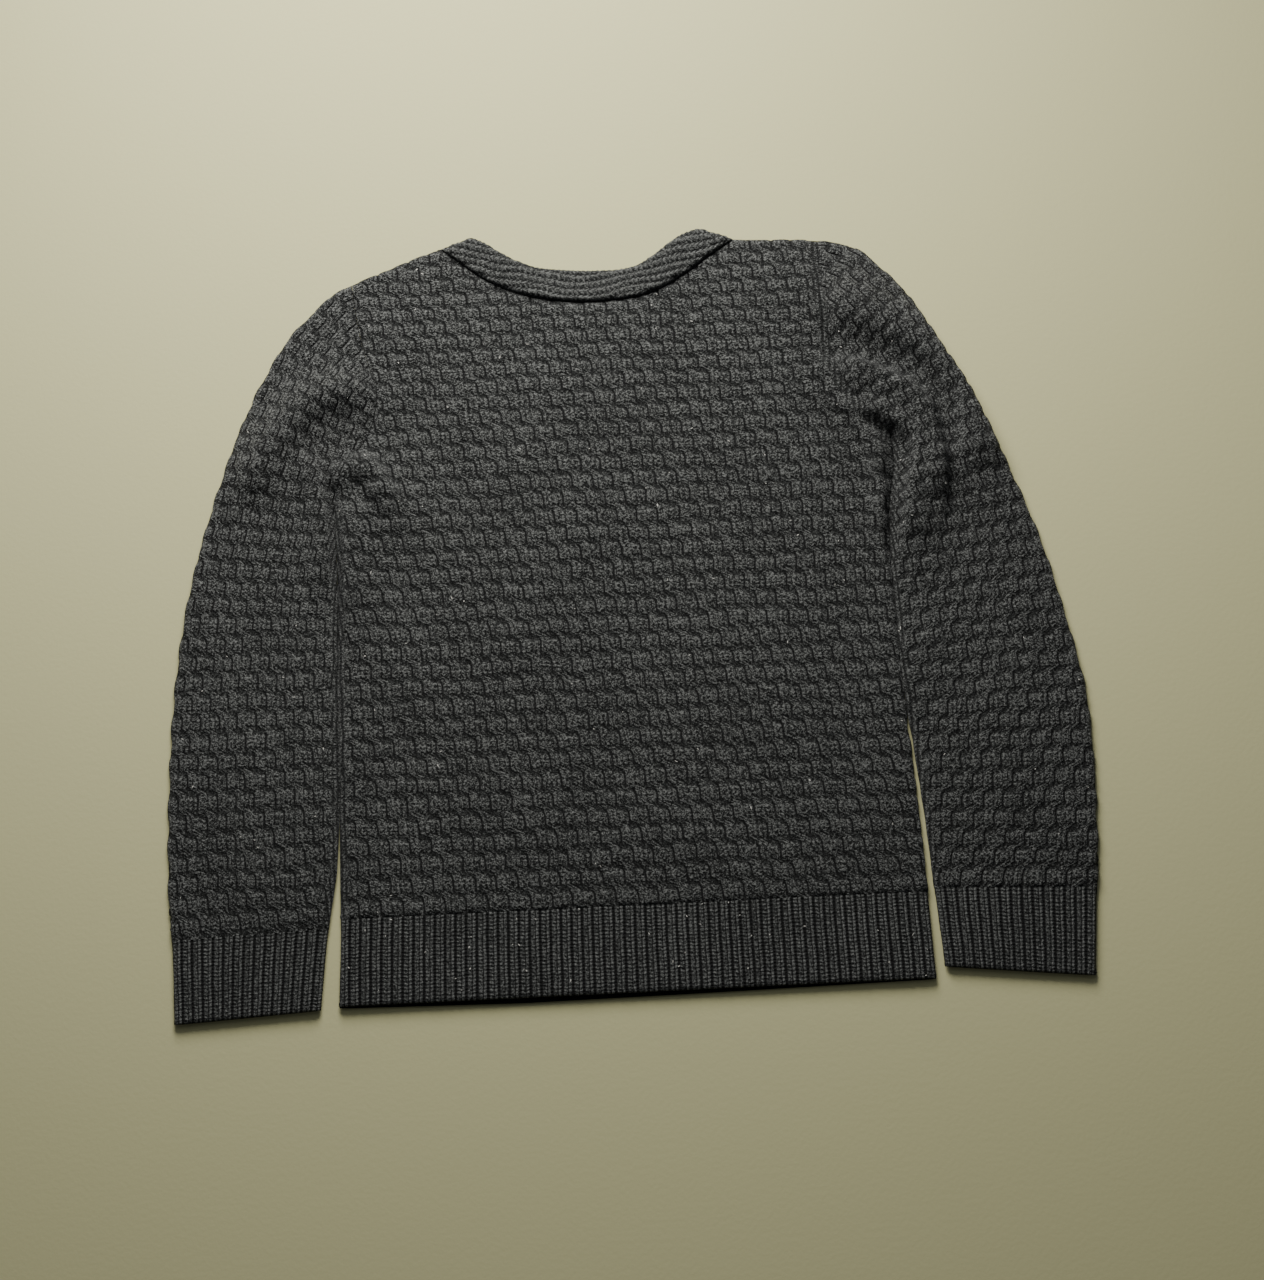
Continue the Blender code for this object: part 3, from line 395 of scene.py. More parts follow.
# A face over an outline: quads on the knit's own grid, and triangles out to the edge.
def knittedFace(edges, loop, lattice, across, up):
    toLattice, fromLattice = lattice
    low = np.floor(np.min(toLattice(loop), axis=0)) - 1
    high = np.ceil(np.max(toLattice(loop), axis=0)) + 1
    cs = np.arange(low[0], high[0], 1 / across)
    rs = np.arange(low[1], high[1], 1 / up)
    grid = fromLattice(np.tile(cs, len(rs)), np.repeat(rs, len(cs)))
    inside = insideOutline(grid, loop)
    for kind, clear in clearOf.items():
        inside[inside] = edgeDistance(grid[inside], edges, kind) > clear
    inside = inside.reshape(len(rs), len(cs))
    keep = openQuads(inside[:-1, :-1] & inside[:-1, 1:] & inside[1:, :-1] & inside[1:, 1:])
    number = np.arange(inside.size).reshape(inside.shape)
    j, i = np.nonzero(keep)
    quads = np.column_stack([number[j, i], number[j, i + 1], number[j + 1, i + 1],
                             number[j + 1, i]])
    sides = np.vstack([quads[:, [0, 1]], quads[:, [1, 2]], quads[:, [2, 3]], quads[:, [3, 0]]])
    single, times = np.unique(np.sort(sides, axis=1), axis=0, return_counts=True)
    rimSides = single[times == 1]
    rim = np.unique(rimSides)
    ring = ringPoints(edges)
    parts = np.vstack([loop, ring, grid[rim]])
    rimPlace = {g: len(loop) + len(ring) + k for k, g in enumerate(rim)}
    ties = closedTies(len(loop)) + [(rimPlace[a], rimPlace[b]) for a, b in rimSides]
    verts, tris, place = triangulate(parts, ties)
    middle = toLattice(verts[tris].mean(axis=1))
    row = np.clip(((middle[:, 1] - low[1]) * up).astype(int), 0, keep.shape[0] - 1)
    column = np.clip(((middle[:, 0] - low[0]) * across).astype(int), 0, keep.shape[1] - 1)
    tris = tris[~keep[row, column]]
    used = np.unique(quads)
    index = np.full(inside.size, -1)
    extra = np.setdiff1d(used, rim)
    index[extra] = len(verts) + np.arange(len(extra))
    for g in rim:
        index[g] = place[rimPlace[g]]
    points = np.vstack([verts, grid[extra]])
    corner, beside, above = points[index[quads[0, [0, 1, 3]]]]
    if cross(beside - corner, above - corner) < 0:
        quads = quads[:, ::-1]
    faces = [tuple(f) for f in tris.tolist()] + [tuple(f) for f in index[quads].tolist()]
    return points, faces, place[:len(loop)]


def insidePoints(twin, edges):
    step = cloth["insideStep"]
    low, high = twin.min(axis=0), twin.max(axis=0)
    grid = np.array([(x + (j % 2) * step / 2, y)
                     for j, y in enumerate(np.arange(low[1], high[1], step))
                     for x in np.arange(low[0], high[0], step)])
    grid = grid[insideOutline(grid, twin)]
    return grid[distanceTo(grid, np.vstack([twin, twin[:1]])) > cloth["insideClear"]]


# Adds a face to a shell; known maps a place in the loop to a point made before.
def addFace(shell, points, faces, loopPlace, height, knit, relief, known, up):
    index = np.full(len(points), -1)
    for place, point in known.items():
        index[loopPlace[place]] = point
    fresh = np.flatnonzero(index < 0)
    index[fresh] = shell.add(points[fresh], height[fresh], knit[fresh], relief[fresh])
    for face in faces:
        corners = [int(index[v]) for v in face]
        shell.faces.append(tuple(corners if up else corners[::-1]))
    return index[loopPlace]


def plainFace(shell, twin, points, height, known, up):
    verts, tris, place = triangulate(np.vstack([twin, points]) if len(points) else twin,
                                     closedTies(len(twin)))
    blank = np.zeros((len(verts), 3))
    return addFace(shell, verts, tris, place[:len(twin)], height(verts), blank, blank[:, :2],
                   known, up)


def foldDistance(points, edges):
    return np.maximum(edgeDistance(points, edges, "fold") - cloth["seamGap"], 0)


# 1 on the cloth, down to a thin lip where it ends in a cast-on or cast-off edge.
def atFreeEdge(points, edges):
    share = np.ones(len(points))
    for kind, radius in (("free", cloth["weltRound"]), ("neck", cloth["neckRound"])):
        near = roundOver(edgeDistance(points, edges, kind) / radius)
        share = np.minimum(share, cloth["lip"] + (1 - cloth["lip"]) * near)
    return share


# Height of the upper layer's outer face without its knit.
def upperOutside(points, edges, piece):
    high = backOutside + upperLift(points)
    seam = edgeDistance(points, edges, "seam")
    high = high - piece["seamDip"] * np.exp(-(seam / piece["seamWidth"]) ** 2)
    if "proud" in piece:
        high = high + piece["proud"] * roundOver(seam / piece["step"]) \
            * roundOver(edgeDistance(points, edges, "neck") / piece["roll"])
    base = backInside + upperLift(points) + cloth["wall"] * cloth["lipHeight"]
    high = base + (high - base) * atFreeEdge(points, edges)
    middle = middleHeight + piece["lay"]
    return middle + (high - middle) * roundOver(foldDistance(points, edges) / cloth["foldRound"])


def upperInside(points, edges, piece):
    share = roundOver((foldDistance(points, edges) - cloth["wall"]) / cloth["foldRound"])
    middle = middleHeight + piece["lay"]
    base = backInside + cloth["wall"] * cloth["lipHeight"]
    low = base + (backInside - base) * atFreeEdge(points, edges) + upperLift(points)
    return middle + (low - middle) * share


def lowerOutside(points, edges, piece):
    share = 1 - roundOver(foldDistance(points, edges) / cloth["foldRound"])
    lip = cloth["wall"] * (1 - cloth["lipHeight"]) * (1 - atFreeEdge(points, edges))
    return lip + (middleHeight - piece["lay"] - lip) * share


def lowerInside(points, edges, piece):
    share = roundOver((foldDistance(points, edges) - cloth["wall"]) / cloth["foldRound"])
    middle = middleHeight - piece["lay"]
    base = cloth["wall"] * (1 - cloth["lipHeight"])
    high = base + (cloth["wall"] - base) * atFreeEdge(points, edges)
    return middle + (high - middle) * share


waves = np.random.default_rng(7)
unevenWaves = [(waves.uniform(0, 2 * math.pi), 2 * math.pi / waves.uniform(26, 95),
                waves.uniform(0, 2 * math.pi)) for _ in range(14)]


# Hand-knit cloth: no two cells or ribs lie quite where the chart has them.
def uneven(points, coordinates, piece):
    moved = coordinates.copy()
    for number, (heading, frequency, phase) in enumerate(unevenWaves):
        wave = np.sin(frequency * (points @ [math.cos(heading), math.sin(heading)]) + phase)
        moved[:, number % 2] += wave * piece["uneven"][number % 2]
    return moved


# The knit rises from its least share between two distances from each kind of edge.
knitFades = {"fold": (0.5, 5.0, 0.85), "seam": (0, 2.0, 0.0), "join": (0, 2.0, 0.35),
             "free": (0, 1.0, 0.5), "neck": (0, 1.0, 0.5)}
stripBlend = 1.5


# Each point's knit coordinates with its share of cable, and how far its knit is raised.
def knitLayers(points, edges, lattice, piece, lower):
    cable = np.ones(len(points))
    for line, width in piece.get("plainStrips", ()):
        cable *= softStep(distanceTo(points, line), width - stripBlend, width + stripBlend)
    knit = np.column_stack([uneven(points, lattice[0](points), piece), cable])
    share = np.ones(len(points))
    for kind, (start, end, least) in knitFades.items():
        near = softStep(edgeDistance(points, edges, kind), start, end)
        share = share * (least + (1 - least) * near)
    return knit, np.column_stack([share, np.full(len(points), float(lower))])


def makePanel(name, edges, lattice, piece, lower=False):
    loop, twin, _ = sampleOutline(edges)
    points, faces, place = knittedFace(edges, loop, lattice, *piece["samples"])
    knit, relief = knitLayers(points, edges, lattice, piece, lower)
    outside = piece.get("outside", lowerOutside if lower else upperOutside)
    inside = piece.get("inside", lowerInside if lower else upperInside)
    shell = Shell()
    outer = addFace(shell, points, faces, place, outside(points, edges, piece), knit, relief, {},
                    not lower)
    inner = plainFace(shell, twin, insidePoints(twin, edges),
                      lambda p: inside(p, edges, piece), {}, lower)
    shell.strip(*((inner, outer) if lower else (outer, inner)))
    return shell.make(name)


def makeTube(name, edges, lattice, piece):
    loop, twin, shared = sampleOutline(edges)
    count = len(loop)
    shell = Shell()
    points, faces, place = knittedFace(edges, loop, lattice, *piece["samples"])
    knit, relief = knitLayers(points, edges, lattice, piece, False)
    top = addFace(shell, points, faces, place, upperOutside(points, edges, piece), knit, relief,
                  {}, True)
    points, faces, place = knittedFace(edges, loop, lattice, *piece["samplesBelow"])
    knit, relief = knitLayers(points, edges, lattice, piece, True)
    known = {k: top[k] for k in np.flatnonzero(shared)}
    bottom = addFace(shell, points, faces, place, lowerOutside(points, edges, piece), knit,
                     relief, known, False)
    plain = insidePoints(twin, edges)
    ceiling = plainFace(shell, twin, plain, lambda p: upperInside(p, edges, piece), {}, False)
    known = {k: ceiling[k] for k in np.flatnonzero(shared)}
    ground = plainFace(shell, twin, plain[::3], lambda p: lowerInside(p, edges, piece), known,
                       True)
    for k in range(count):
        n = (k + 1) % count
        if not (shared[k] and shared[n]):
            shell.strip([top[k], top[n]], [ceiling[k], ceiling[n]], False)
            shell.strip([ground[k], ground[n]], [bottom[k], bottom[n]], False)
    return shell.make(name)


bodyKnit = {
    "heights": [70, 170, 300, 400, 480, 560, 650],
    "pitch": [17.1, 16.8, 16.3, 17.1, 17.5, 18.0, 18.1],
    "row": [16.3, 16.2, 15.8, 15.3, 14.3, 12.9, 12.4],
    "drift": 0.056, "driftFrom": 300.0, "start": 0.14,
}
sleeveKnits = {
    "left": {
        "heights": [60, 190, 290, 370, 450, 520, 600],
        "slope": [2, 1, -1, -6, -14, -25, -48],
        "pitch": [15.7, 15.6, 14.9, 13.8, 13.6, 13.6, 13.6],
        "row": [16.4, 16.8, 16.7, 16.2, 16.2, 16.2, 16.2],
    },
    "right": {
        "heights": [65, 190, 295, 385, 450, 520, 610],
        "slope": [-3, 0, 5, 8, 13, 23, 46],
        "pitch": [16.9, 16.6, 15.8, 14.0, 13.7, 13.6, 13.6],
        "row": [16.4, 16.8, 16.7, 16.0, 15.8, 15.8, 15.8],
    },
}


rowReach = 60.0    # how far the rows run on past a piece's ends
rowsBelow = 4


def bodyLattice():
    heights, pitches = bodyKnit["heights"], bodyKnit["pitch"]
    rows = [heights[0] - bodyKnit["row"][0] * (1.5 + bodyKnit["start"])]
    while rows[-1] < heights[-1] + 30:
        start = rows[-1] if rows[-1] > heights[0] else heights[0]
        rows.append(rows[-1] + np.interp(start, heights, bodyKnit["row"]))
    numbers = np.arange(len(rows)) - 2.0

    def toLattice(points):
        x, y = points[:, 0], points[:, 1]
        middle = (bodyKnit["driftFrom"] - y) * bodyKnit["drift"]
        pitch = np.interp(y, heights, pitches)
        return np.column_stack([(x - middle) / (pitch / 2), np.interp(y, rows, numbers)])

    def fromLattice(column, row):
        y = np.interp(row, numbers, rows)
        middle = (bodyKnit["driftFrom"] - y) * bodyKnit["drift"]
        pitch = np.interp(y, heights, pitches)
        return np.column_stack([middle + column * pitch / 2, y])

    return toLattice, fromLattice


# How far up a run of rows each point lies; rowAt gives each row's start and heading.
def findRow(points, low, high, rowAt, turn):
    low, high = np.full(len(points), low), np.full(len(points), high)
    for _ in range(22):
        mid = (low + high) / 2
        start, run = rowAt(mid)
        past = turn * cross(run, points - start) > 0
        low, high = np.where(past, mid, low), np.where(past, high, mid)
    return low


def sleeveLattice(side):
    knit = sleeveKnits[side]
    inwards = 1 if side == "left" else -1
    outer = curve["sleeveLeftOuter" if side == "left" else "sleeveRightOuter"]
    line = stretchBetween(outer, knit["heights"][0], outer[:, 1].max())
    if line[0, 1] > line[-1, 1]:
        line = line[::-1]
    ends = [end + (end - inner) / np.linalg.norm(end - inner) * rowReach
            for end, inner in ((line[0], line[1]), (line[-1], line[-2]))]
    line = np.vstack([ends[0], line, ends[1]])
    total = lineLengths(line)[-1]
    starts = [rowReach + knit["row"][0] / 2]
    while starts[-1] < total:
        up = alongLine(line, starts[-1:])[0, 1]
        starts.append(starts[-1] + np.interp(up, knit["heights"], knit["row"]))
    below = starts[0] - knit["row"][0] * np.arange(rowsBelow, 0, -1)
    starts = np.concatenate([below, starts])
    numbers = np.arange(len(starts)) - float(rowsBelow)

    def rowAt(s):
        start = alongLine(line, s)
        slope = np.radians(np.interp(start[:, 1], knit["heights"], knit["slope"]))
        pitch = np.interp(start[:, 1], knit["heights"], knit["pitch"])
        run = inwards * np.column_stack([np.cos(slope), np.sin(slope)])
        return start, run, pitch / 2

    def toLattice(points):
        s = findRow(points, 0.0, total, lambda mid: rowAt(mid)[:2], inwards)
        start, run, half = rowAt(s)
        column = np.sum((points - start) * run, axis=1) / half
        return np.column_stack([column, np.interp(s, starts, numbers)])

    def fromLattice(column, row):
        start, run, half = rowAt(np.interp(row, numbers, starts))
        return start + (column * half)[:, None] * run

    return toLattice, fromLattice


# Feeds a node's inputs by name or number: a socket or a Value is linked, anything else is set.
def feed(tree, node, inputs):
    for name, value in inputs.items():
        if isinstance(value, Value):
            value = value.socket
        if isinstance(value, bpy.types.NodeSocket):
            tree.links.new(value, node.inputs[name])
        else:
            node.inputs[name].default_value = value


def outputOf(tree, kind, inputs, output=0, **settings):
    node = tree.nodes.new(kind)
    for name, value in settings.items():
        setattr(node, name, value)
    feed(tree, node, inputs)
    return Value(tree, node.outputs[output])


def mathNode(tree, operation, *values):
    return outputOf(tree, "ShaderNodeMath", dict(enumerate(values)), operation=operation)


# A number in a node tree: sums with it add Math nodes.
class Value:
    def __init__(self, tree, socket):
        self.tree, self.socket = tree, socket

    def math(self, operation, *others):
        return mathNode(self.tree, operation, self, *others)

    def step(self, low, high, outLow=0.0, outHigh=1.0):
        values = (self, low, high, outLow, outHigh)
        return outputOf(self.tree, "ShaderNodeMapRange", dict(enumerate(values)),
                        interpolation_type="SMOOTHSTEP")

    def dome(self, centre, width):
        off = (self - centre) / width
        return 1.0 - off * off

    def __add__(self, other):
        return self.math("ADD", other)

    def __radd__(self, other):
        return mathNode(self.tree, "ADD", other, self)

    def __sub__(self, other):
        return self.math("SUBTRACT", other)

    def __rsub__(self, other):
        return mathNode(self.tree, "SUBTRACT", other, self)

    def __mul__(self, other):
        return self.math("MULTIPLY", other)

    def __truediv__(self, other):
        return self.math("DIVIDE", other)

    def __abs__(self):
        return self.math("ABSOLUTE")


def splitVector(tree, vector):
    node = tree.nodes.new("ShaderNodeSeparateXYZ")
    feed(tree, node, {0: vector})
    return [Value(tree, socket) for socket in node.outputs]


# A tree with named inputs, each of its value's kind and None for a mesh, and those inputs.
def startTree(name, kind, inputs, outputs):
    tree = bpy.data.node_groups.new(name, kind)
    kinds = {type(None): "Geometry", int: "Int", float: "Float"}
    for way, sockets in (("INPUT", inputs), ("OUTPUT", outputs)):
        for socket, value in sockets.items():
            made = tree.interface.new_socket(socket, in_out=way,
                                             socket_type="NodeSocket" + kinds[type(value)])
            if value is not None:
                made.default_value = value
    return tree, tree.nodes.new("NodeGroupInput").outputs


def finishGeometry(tree, geometry, material):
    real = outputOf(tree, "GeometryNodeRealizeInstances", {0: geometry})
    paint = outputOf(tree, "GeometryNodeSetMaterial", {"Geometry": real, "Material": material})
    feed(tree, tree.nodes.new("NodeGroupOutput"), {0: paint})
    return tree


cableShape = {
    "crossFrom": 0.66, "crossTo": 1.0,     # where in a row, from its top, the strands cross
    "ease": 0.12, "easeTo": 0.28,          # the front strand settles into the next row
    "level": 0.25, "front": 0.03,          # the strands side by side, and the one crossing over
    "dive": 0.65, "emerge": 0.20,          # the strand that goes under it and comes out again
    "dome": 0.14, "cell": 0.60, "cellFrom": 0.25, "blend": 0.06,
    "slitDepth": 0.85, "slitWidth": 0.20, "slitFrom": 0.12,
    "furrow": 0.12, "furrowWidth": 0.4,
}


# Two-over-two cables in staggered rows: height, each strand's own coordinate, and how far the
# front strand has begun to cross.
def cableHeight(column, row):
    shape = cableShape
    start, end = shape["crossFrom"], shape["crossTo"]
    number = (row + 0.5).math("FLOOR")
    t = number + 0.5 - row
    half = (column - number) * 0.5
    cell = (half + 0.5).math("FLOOR") * 2.0 + number
    s = column - cell + 1.0
    move = t.step(start, end)
    ease = t.step(0.0, shape["easeTo"], shape["ease"], 0.0)
    shift = move * (1 - shape["ease"]) - ease
    over = ((s - (shift + 0.5)) * 2.0).math("WRAP", 3.0, -1.0)
    under = (s - (1.5 - move)) * 2.0
    upright = t.step(start - 0.05, end - 0.1, 1.0, 0.0)
    raised = t.step(start - 0.1, start + 0.12) * t.step(end - 0.2, end, shape["front"], 0.0)
    dive = t.step(start - 0.12, start + 0.16, 0.0, shape["dive"]) \
        + t.step(0.0, shape["emerge"], shape["dive"], 0.0)
    fromMiddle = abs(s - 1.0).math("MINIMUM", 1.0)
    swell = fromMiddle.dome(0.0, 1.0) \
        * (upright * t.step(0.0, shape["cellFrom"], 0.0, shape["cell"])) + shape["level"]
    heights = []
    for level, off in ((raised, over), (dive * -1.0, under)):
        dome = off.dome(0.0, 1.0).math("MAXIMUM", -2.0)
        furrow = abs(off).step(0.0, shape["furrowWidth"], -shape["furrow"], 0.0)
        heights.append(level + swell + (furrow + dome * shape["dome"]))
    height = heights[0].math("SMOOTH_MAX", heights[1], shape["blend"])
    side = abs((s + ease).math("WRAP", 1.0, -1.0))
    slit = side.step(0.0, shape["slitWidth"], -shape["slitDepth"], 0.0) \
        * (upright * t.step(0.0, shape["slitFrom"]))
    inFront = heights[0].math("GREATER_THAN", heights[1])
    strand = over * inFront + under * (1.0 - inFront)
    crossing = inFront * (t.step(start - 0.12, start + 0.06) + t.step(0.0, 0.16, 1.0, 0.0))
    return height + slit, strand, crossing


# Upright wales, four to a cell.
def plainHeight(column):
    return (column * (4 * math.pi)).math("COSINE") * -0.15


def cablesAndWales(column, row, share):
    cable, plain = cableHeight(column, row)[0], plainHeight(column)
    return plain + share * (cable - plain)


# The legs and the purl are each a place across the rib, a width and a height.
ribShape = {
    "base": -0.75,
    "leftLeg": (0.29, 0.26, 1.2), "rightLeg": (0.70, 0.18, 1.35),
    "purl": (0.96, 0.10, 0.25), "stitch": 0.14, "lean": 0.8, "outOfStep": 0.618,
}
cordShape = {
    "base": -0.6, "height": 1.1, "width": 0.62, "stitch": 0.38, "lean": 1.6,
    "groove": 0.08, "grooveWidth": 0.16,
}


# 1x1 rib: a knit wale's two legs and the purl furrow beside it.
def ribHeight(rib, course, _=None):
    shape = ribShape
    place = rib.math("FRACT")
    phase = course + rib.math("FLOOR") * shape["outOfStep"] + place * shape["lean"]
    stitch = (phase * (2 * math.pi)).math("COSINE") * shape["stitch"]
    legs = []
    for (centre, width, height), share in ((shape["leftLeg"], 1.0), (shape["rightLeg"], 0.3),
                                           (shape["purl"], 1.0)):
        dome = place.dome(centre, width).math("MAXIMUM", 0.0)
        legs.append(dome * (height + stitch * share))
    return legs[0].math("MAXIMUM", legs[1].math("MAXIMUM", legs[2])) + shape["base"]


# Thick ribs of the neckband: each a round cord of stitches.
def cordHeight(ridge, course, _=None):
    shape = cordShape
    place = ridge.math("FRACT") - 0.5
    phase = course + ridge.math("FLOOR") * ribShape["outOfStep"] - abs(place) * shape["lean"]
    stitch = (phase * (2 * math.pi)).math("COSINE") * shape["stitch"]
    groove = abs(place).step(0.0, shape["grooveWidth"], -shape["groove"], 0.0)
    return place.dome(0.0, shape["width"]) * shape["height"] + shape["base"] + (stitch + groove)


def readLayer(tree, name, kind):
    return outputOf(tree, "GeometryNodeInputNamedAttribute", {"Name": name}, "Attribute",
                    data_type=kind)


# Lifts a wall's outer points by the knit's own height along their normals.
def reliefTree(name, heightOf, material):
    tree, given = startTree(name, "GeometryNodeTree",
                            {"Geometry": None, "Relief": 0.0, "Peak": 0.0}, {"Geometry": None})
    height = heightOf(*splitVector(tree, readLayer(tree, "lattice", "FLOAT_VECTOR")))
    sunk = readLayer(tree, "sunk", "FLOAT") * given["Peak"]
    amount = (height - sunk) * (readLayer(tree, "raise", "FLOAT") * given["Relief"])
    normal = outputOf(tree, "GeometryNodeInputNormal", {})
    offset = outputOf(tree, "ShaderNodeVectorMath", {0: normal, "Scale": amount}, operation="SCALE")
    shift = outputOf(tree, "GeometryNodeSetPosition",
                     {"Geometry": given["Geometry"], "Offset": offset})
    return finishGeometry(tree, shift, material)


# Runs a tree on an object and keeps the result as its plain mesh.
def growKnit(made, tree, values):
    modifier = made.modifiers.new(tree.name, "NODES")
    modifier.node_group = tree
    for item in tree.interface.items_tree:
        if item.in_out == "INPUT" and item.name in values:
            modifier[item.identifier] = values[item.name]
    ready = made.evaluated_get(bpy.context.evaluated_depsgraph_get())
    mesh = bpy.data.meshes.new_from_object(ready)
    mesh.set_sharp_from_angle(angle=math.radians(cloth["sharpAngle"]))
    made.modifiers.remove(modifier)
    made.data = mesh
    mesh.name = made.name


def raiseKnit(made, tree, relief, peak=0.0):
    growKnit(made, tree, {"Relief": relief * mm, "Peak": peak})
    print(made.name, len(made.data.vertices))
    return made


def outlineArea(edges):
    loop, _, _ = sampleOutline(edges)
    return 0.5 * abs(np.sum(cross(loop, np.roll(loop, -1, axis=0)))) * mm * mm


# Hangs a knitted piece from the root and hides the CAD part it stands for; the size of its cut, all
# round on a tube so twice what shows, is worked out but not used.
def settle(made, node, edges, layers=1):
    loop, _, _ = sampleOutline(edges)
    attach(made, "root")
    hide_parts(node)
    layers * outlineArea(edges)


def newMaterial(name, colour, roughness):
    made = bpy.data.materials.new(name)
    made.use_nodes = True
    shader = made.node_tree.nodes["Principled BSDF"]
    feed(made.node_tree, shader, {"Base Color": (*colour, 1.0), "Roughness": roughness})
    made.diffuse_color = (*colour, 1.0)
    return made, made.node_tree, shader


def noiseValue(tree, values):
    place = outputOf(tree, "ShaderNodeTexCoord", {}, "Object")
    return outputOf(tree, "ShaderNodeTexNoise", {"Vector": place, **values}, "Fac")


def colourRamp(tree, value, stops):
    ramp = outputOf(tree, "ShaderNodeValToRGB", {"Fac": value}, "Color")
    elements = ramp.socket.node.color_ramp.elements
    elements[0].position, elements[1].position = stops[0][0], stops[-1][0]
    for position, _ in stops[1:-1]:
        elements.new(position)
    for element, (_, colour) in zip(elements, stops):
        element.color = (*colour, 1)
    return ramp


def bumpNormal(tree, height, strength, distance):
    values = {"Height": height, "Strength": strength, "Distance": distance}
    return outputOf(tree, "ShaderNodeBump", values, "Normal")


# Each knit's lines are painted shade along the edges of the front strand on a cable, where it lies over
# the strand beneath, and a painted highlight along the lit edge of a wale on the others. Below 0, a line
# lies in and is darker.
knitLooks = {
    "cable": {"lineDepth": -0.40, "lineShade": -0.28, "line": (1.05, 0.40), "open": (-0.45, 0.27)},
    "rib": {"lineDepth": 0.16, "lineShade": 0.20, "line": (0.70, 0.15), "open": (-0.6, 0.15),
            "middle": 0.45},
    "cord": {"lineDepth": 0.16, "lineShade": 0.20, "line": (0.62, 0.2), "open": (-0.45, 0.3),
             "middle": 0.5},
}
stitchesPerRow = 5.0
veeLean = 0.55


# Height and painted shade of the single stitches, and how open the place is to the light, which the
# colour turns into painted shade in the crevices, read from a piece's knit coordinates.
def yarnGroup(name, kind):
    look = knitLooks[kind]
    group, given = startTree(
        name, "ShaderNodeTree",
        {"Stitch Depth": 0.18, "Wale Depth": 0.50, "Line Depth": look["lineDepth"],
         "Stitch Shade": 0.12, "Wale Shade": 0.28, "Line Shade": look["lineShade"]},
        {"Height": 0.0, "Shade": 0.0, "Open": 0.0})
    layer = outputOf(group, "ShaderNodeAttribute", {}, "Vector", attribute_name="lattice")
    column, row, share = splitVector(group, layer)
    course = row
    if kind == "cable":
        height, strand, crossing = cableHeight(column, row)
        plain = plainHeight(column)
        height = plain + share * (height - plain)
        plainWale = (column * 2.0).math("PINGPONG", 1.0)
        wale = plainWale + share * (abs(strand) - plainWale)
        leg = abs(wale * 2.0 - 1.0)
        course = row * stitchesPerRow
        line = wale.dome(*look["line"]).math("MAXIMUM", 0.0) * (crossing * share)
    else:
        height = (ribHeight if kind == "rib" else cordHeight)(column, row)
        leg = (column - look["middle"]).math("PINGPONG", 0.5)
        line = column.math("FRACT").dome(*look["line"])
    # The Shade output is painted light and shade: the stitches' lit and shaded sides, darker furrows
    # between the wales, and the lines.
    vee = ((course - leg * veeLean) * (2 * math.pi)).math("COSINE")
    gutter = leg.step(0.45, 1.0, 0.0, -1.0)
    fine, lit = 0.0, 0.0
    for part, word in ((vee, "Stitch"), (gutter, "Wale"), (line.math("MAXIMUM", 0.0), "Line")):
        fine = fine + part * given[f"{word} Depth"]
        lit = lit + part * given[f"{word} Shade"]
    feed(group, group.nodes.new("NodeGroupOutput"), {
        "Height": height * 0.4 + fine, "Shade": lit, "Open": height.step(*look["open"])})
    return group


# Loose fibres, the stitches' own unevenness and the yarn's uneven dye: size and detail.
fuzzSizes = {"Fibre": (950.0, 2.0), "Stitch": (420.0, 2.0), "Patch": (14.0, 4.0)}


def fuzzGroup():
    group, given = startTree("woolFuzz", "ShaderNodeTree",
                             {f"{name} Size": size for name, (size, _) in fuzzSizes.items()},
                             dict.fromkeys(fuzzSizes, 0.0))
    noises = {name: noiseValue(group, {"Scale": given[f"{name} Size"], "Detail": detail,
                                       "Roughness": 0.65})
              for name, (_, detail) in fuzzSizes.items()}
    feed(group, group.nodes.new("NodeGroupOutput"),
         {name: (noise - 0.5) * 2.0 for name, noise in noises.items()})
    return group


# The wool's colours run from painted shade in the crevices, through the yarn's own colour, to its pale
# fibre tips together with painted highlights on the yarn's lit tops.
wool = {
    "creviceShade": (0.0020, 0.0022, 0.0020), "yarn": (0.042, 0.044, 0.042), "tipAndHighlight": (0.160, 0.164, 0.157),
    "yarnAt": 0.55, "roughness": 0.92, "shine": 0.2, "sheen": 0.06, "sheenRoughness": 0.5,
    "bump": 1.0, "bumpDepth": 0.0014, "roughen": 0.4,
    "fibre": 2.1, "stitch": 1.5, "patch": 0.18, "middle": 0.60,
}


def makeWool(name, yarn, fuzz, shade=1.0, rough=1.0):
    made, tree, shader = newMaterial(name, wool["yarn"], wool["roughness"])
    knit, hairs = [outputOf(tree, "ShaderNodeGroup", {}, node_tree=group).socket.node.outputs
                   for group in (yarn, fuzz)]
    light = mathNode(tree, "ADD", knit["Shade"], wool["middle"])
    height = Value(tree, knit["Height"])
    for noise in ("fibre", "stitch", "patch"):
        part = Value(tree, hairs[noise.capitalize()])
        amount = wool[noise] * (1.0 if noise == "patch" else rough)
        light = light + part * amount
        if noise != "patch":
            height = height + part * (amount * wool["roughen"])
    colours = [(at, [v * shade for v in wool[tone]])
               for at, tone in ((0.0, "creviceShade"), (wool["yarnAt"], "yarn"), (1.0, "tipAndHighlight"))]
    # The base colour carries painted shade: near black where Open is low in the crevices, darker in the
    # furrows and lighter along the painted highlights, with the fibres' own uneven tone on top.
    feed(tree, shader, {
        "Base Color": colourRamp(tree, light * knit["Open"], colours),
        "Normal": bumpNormal(tree, height, wool["bump"], wool["bumpDepth"]),
        "Specular IOR Level": wool["shine"], "Sheen Weight": wool["sheen"],
        "Sheen Roughness": wool["sheenRoughness"]})
    return made


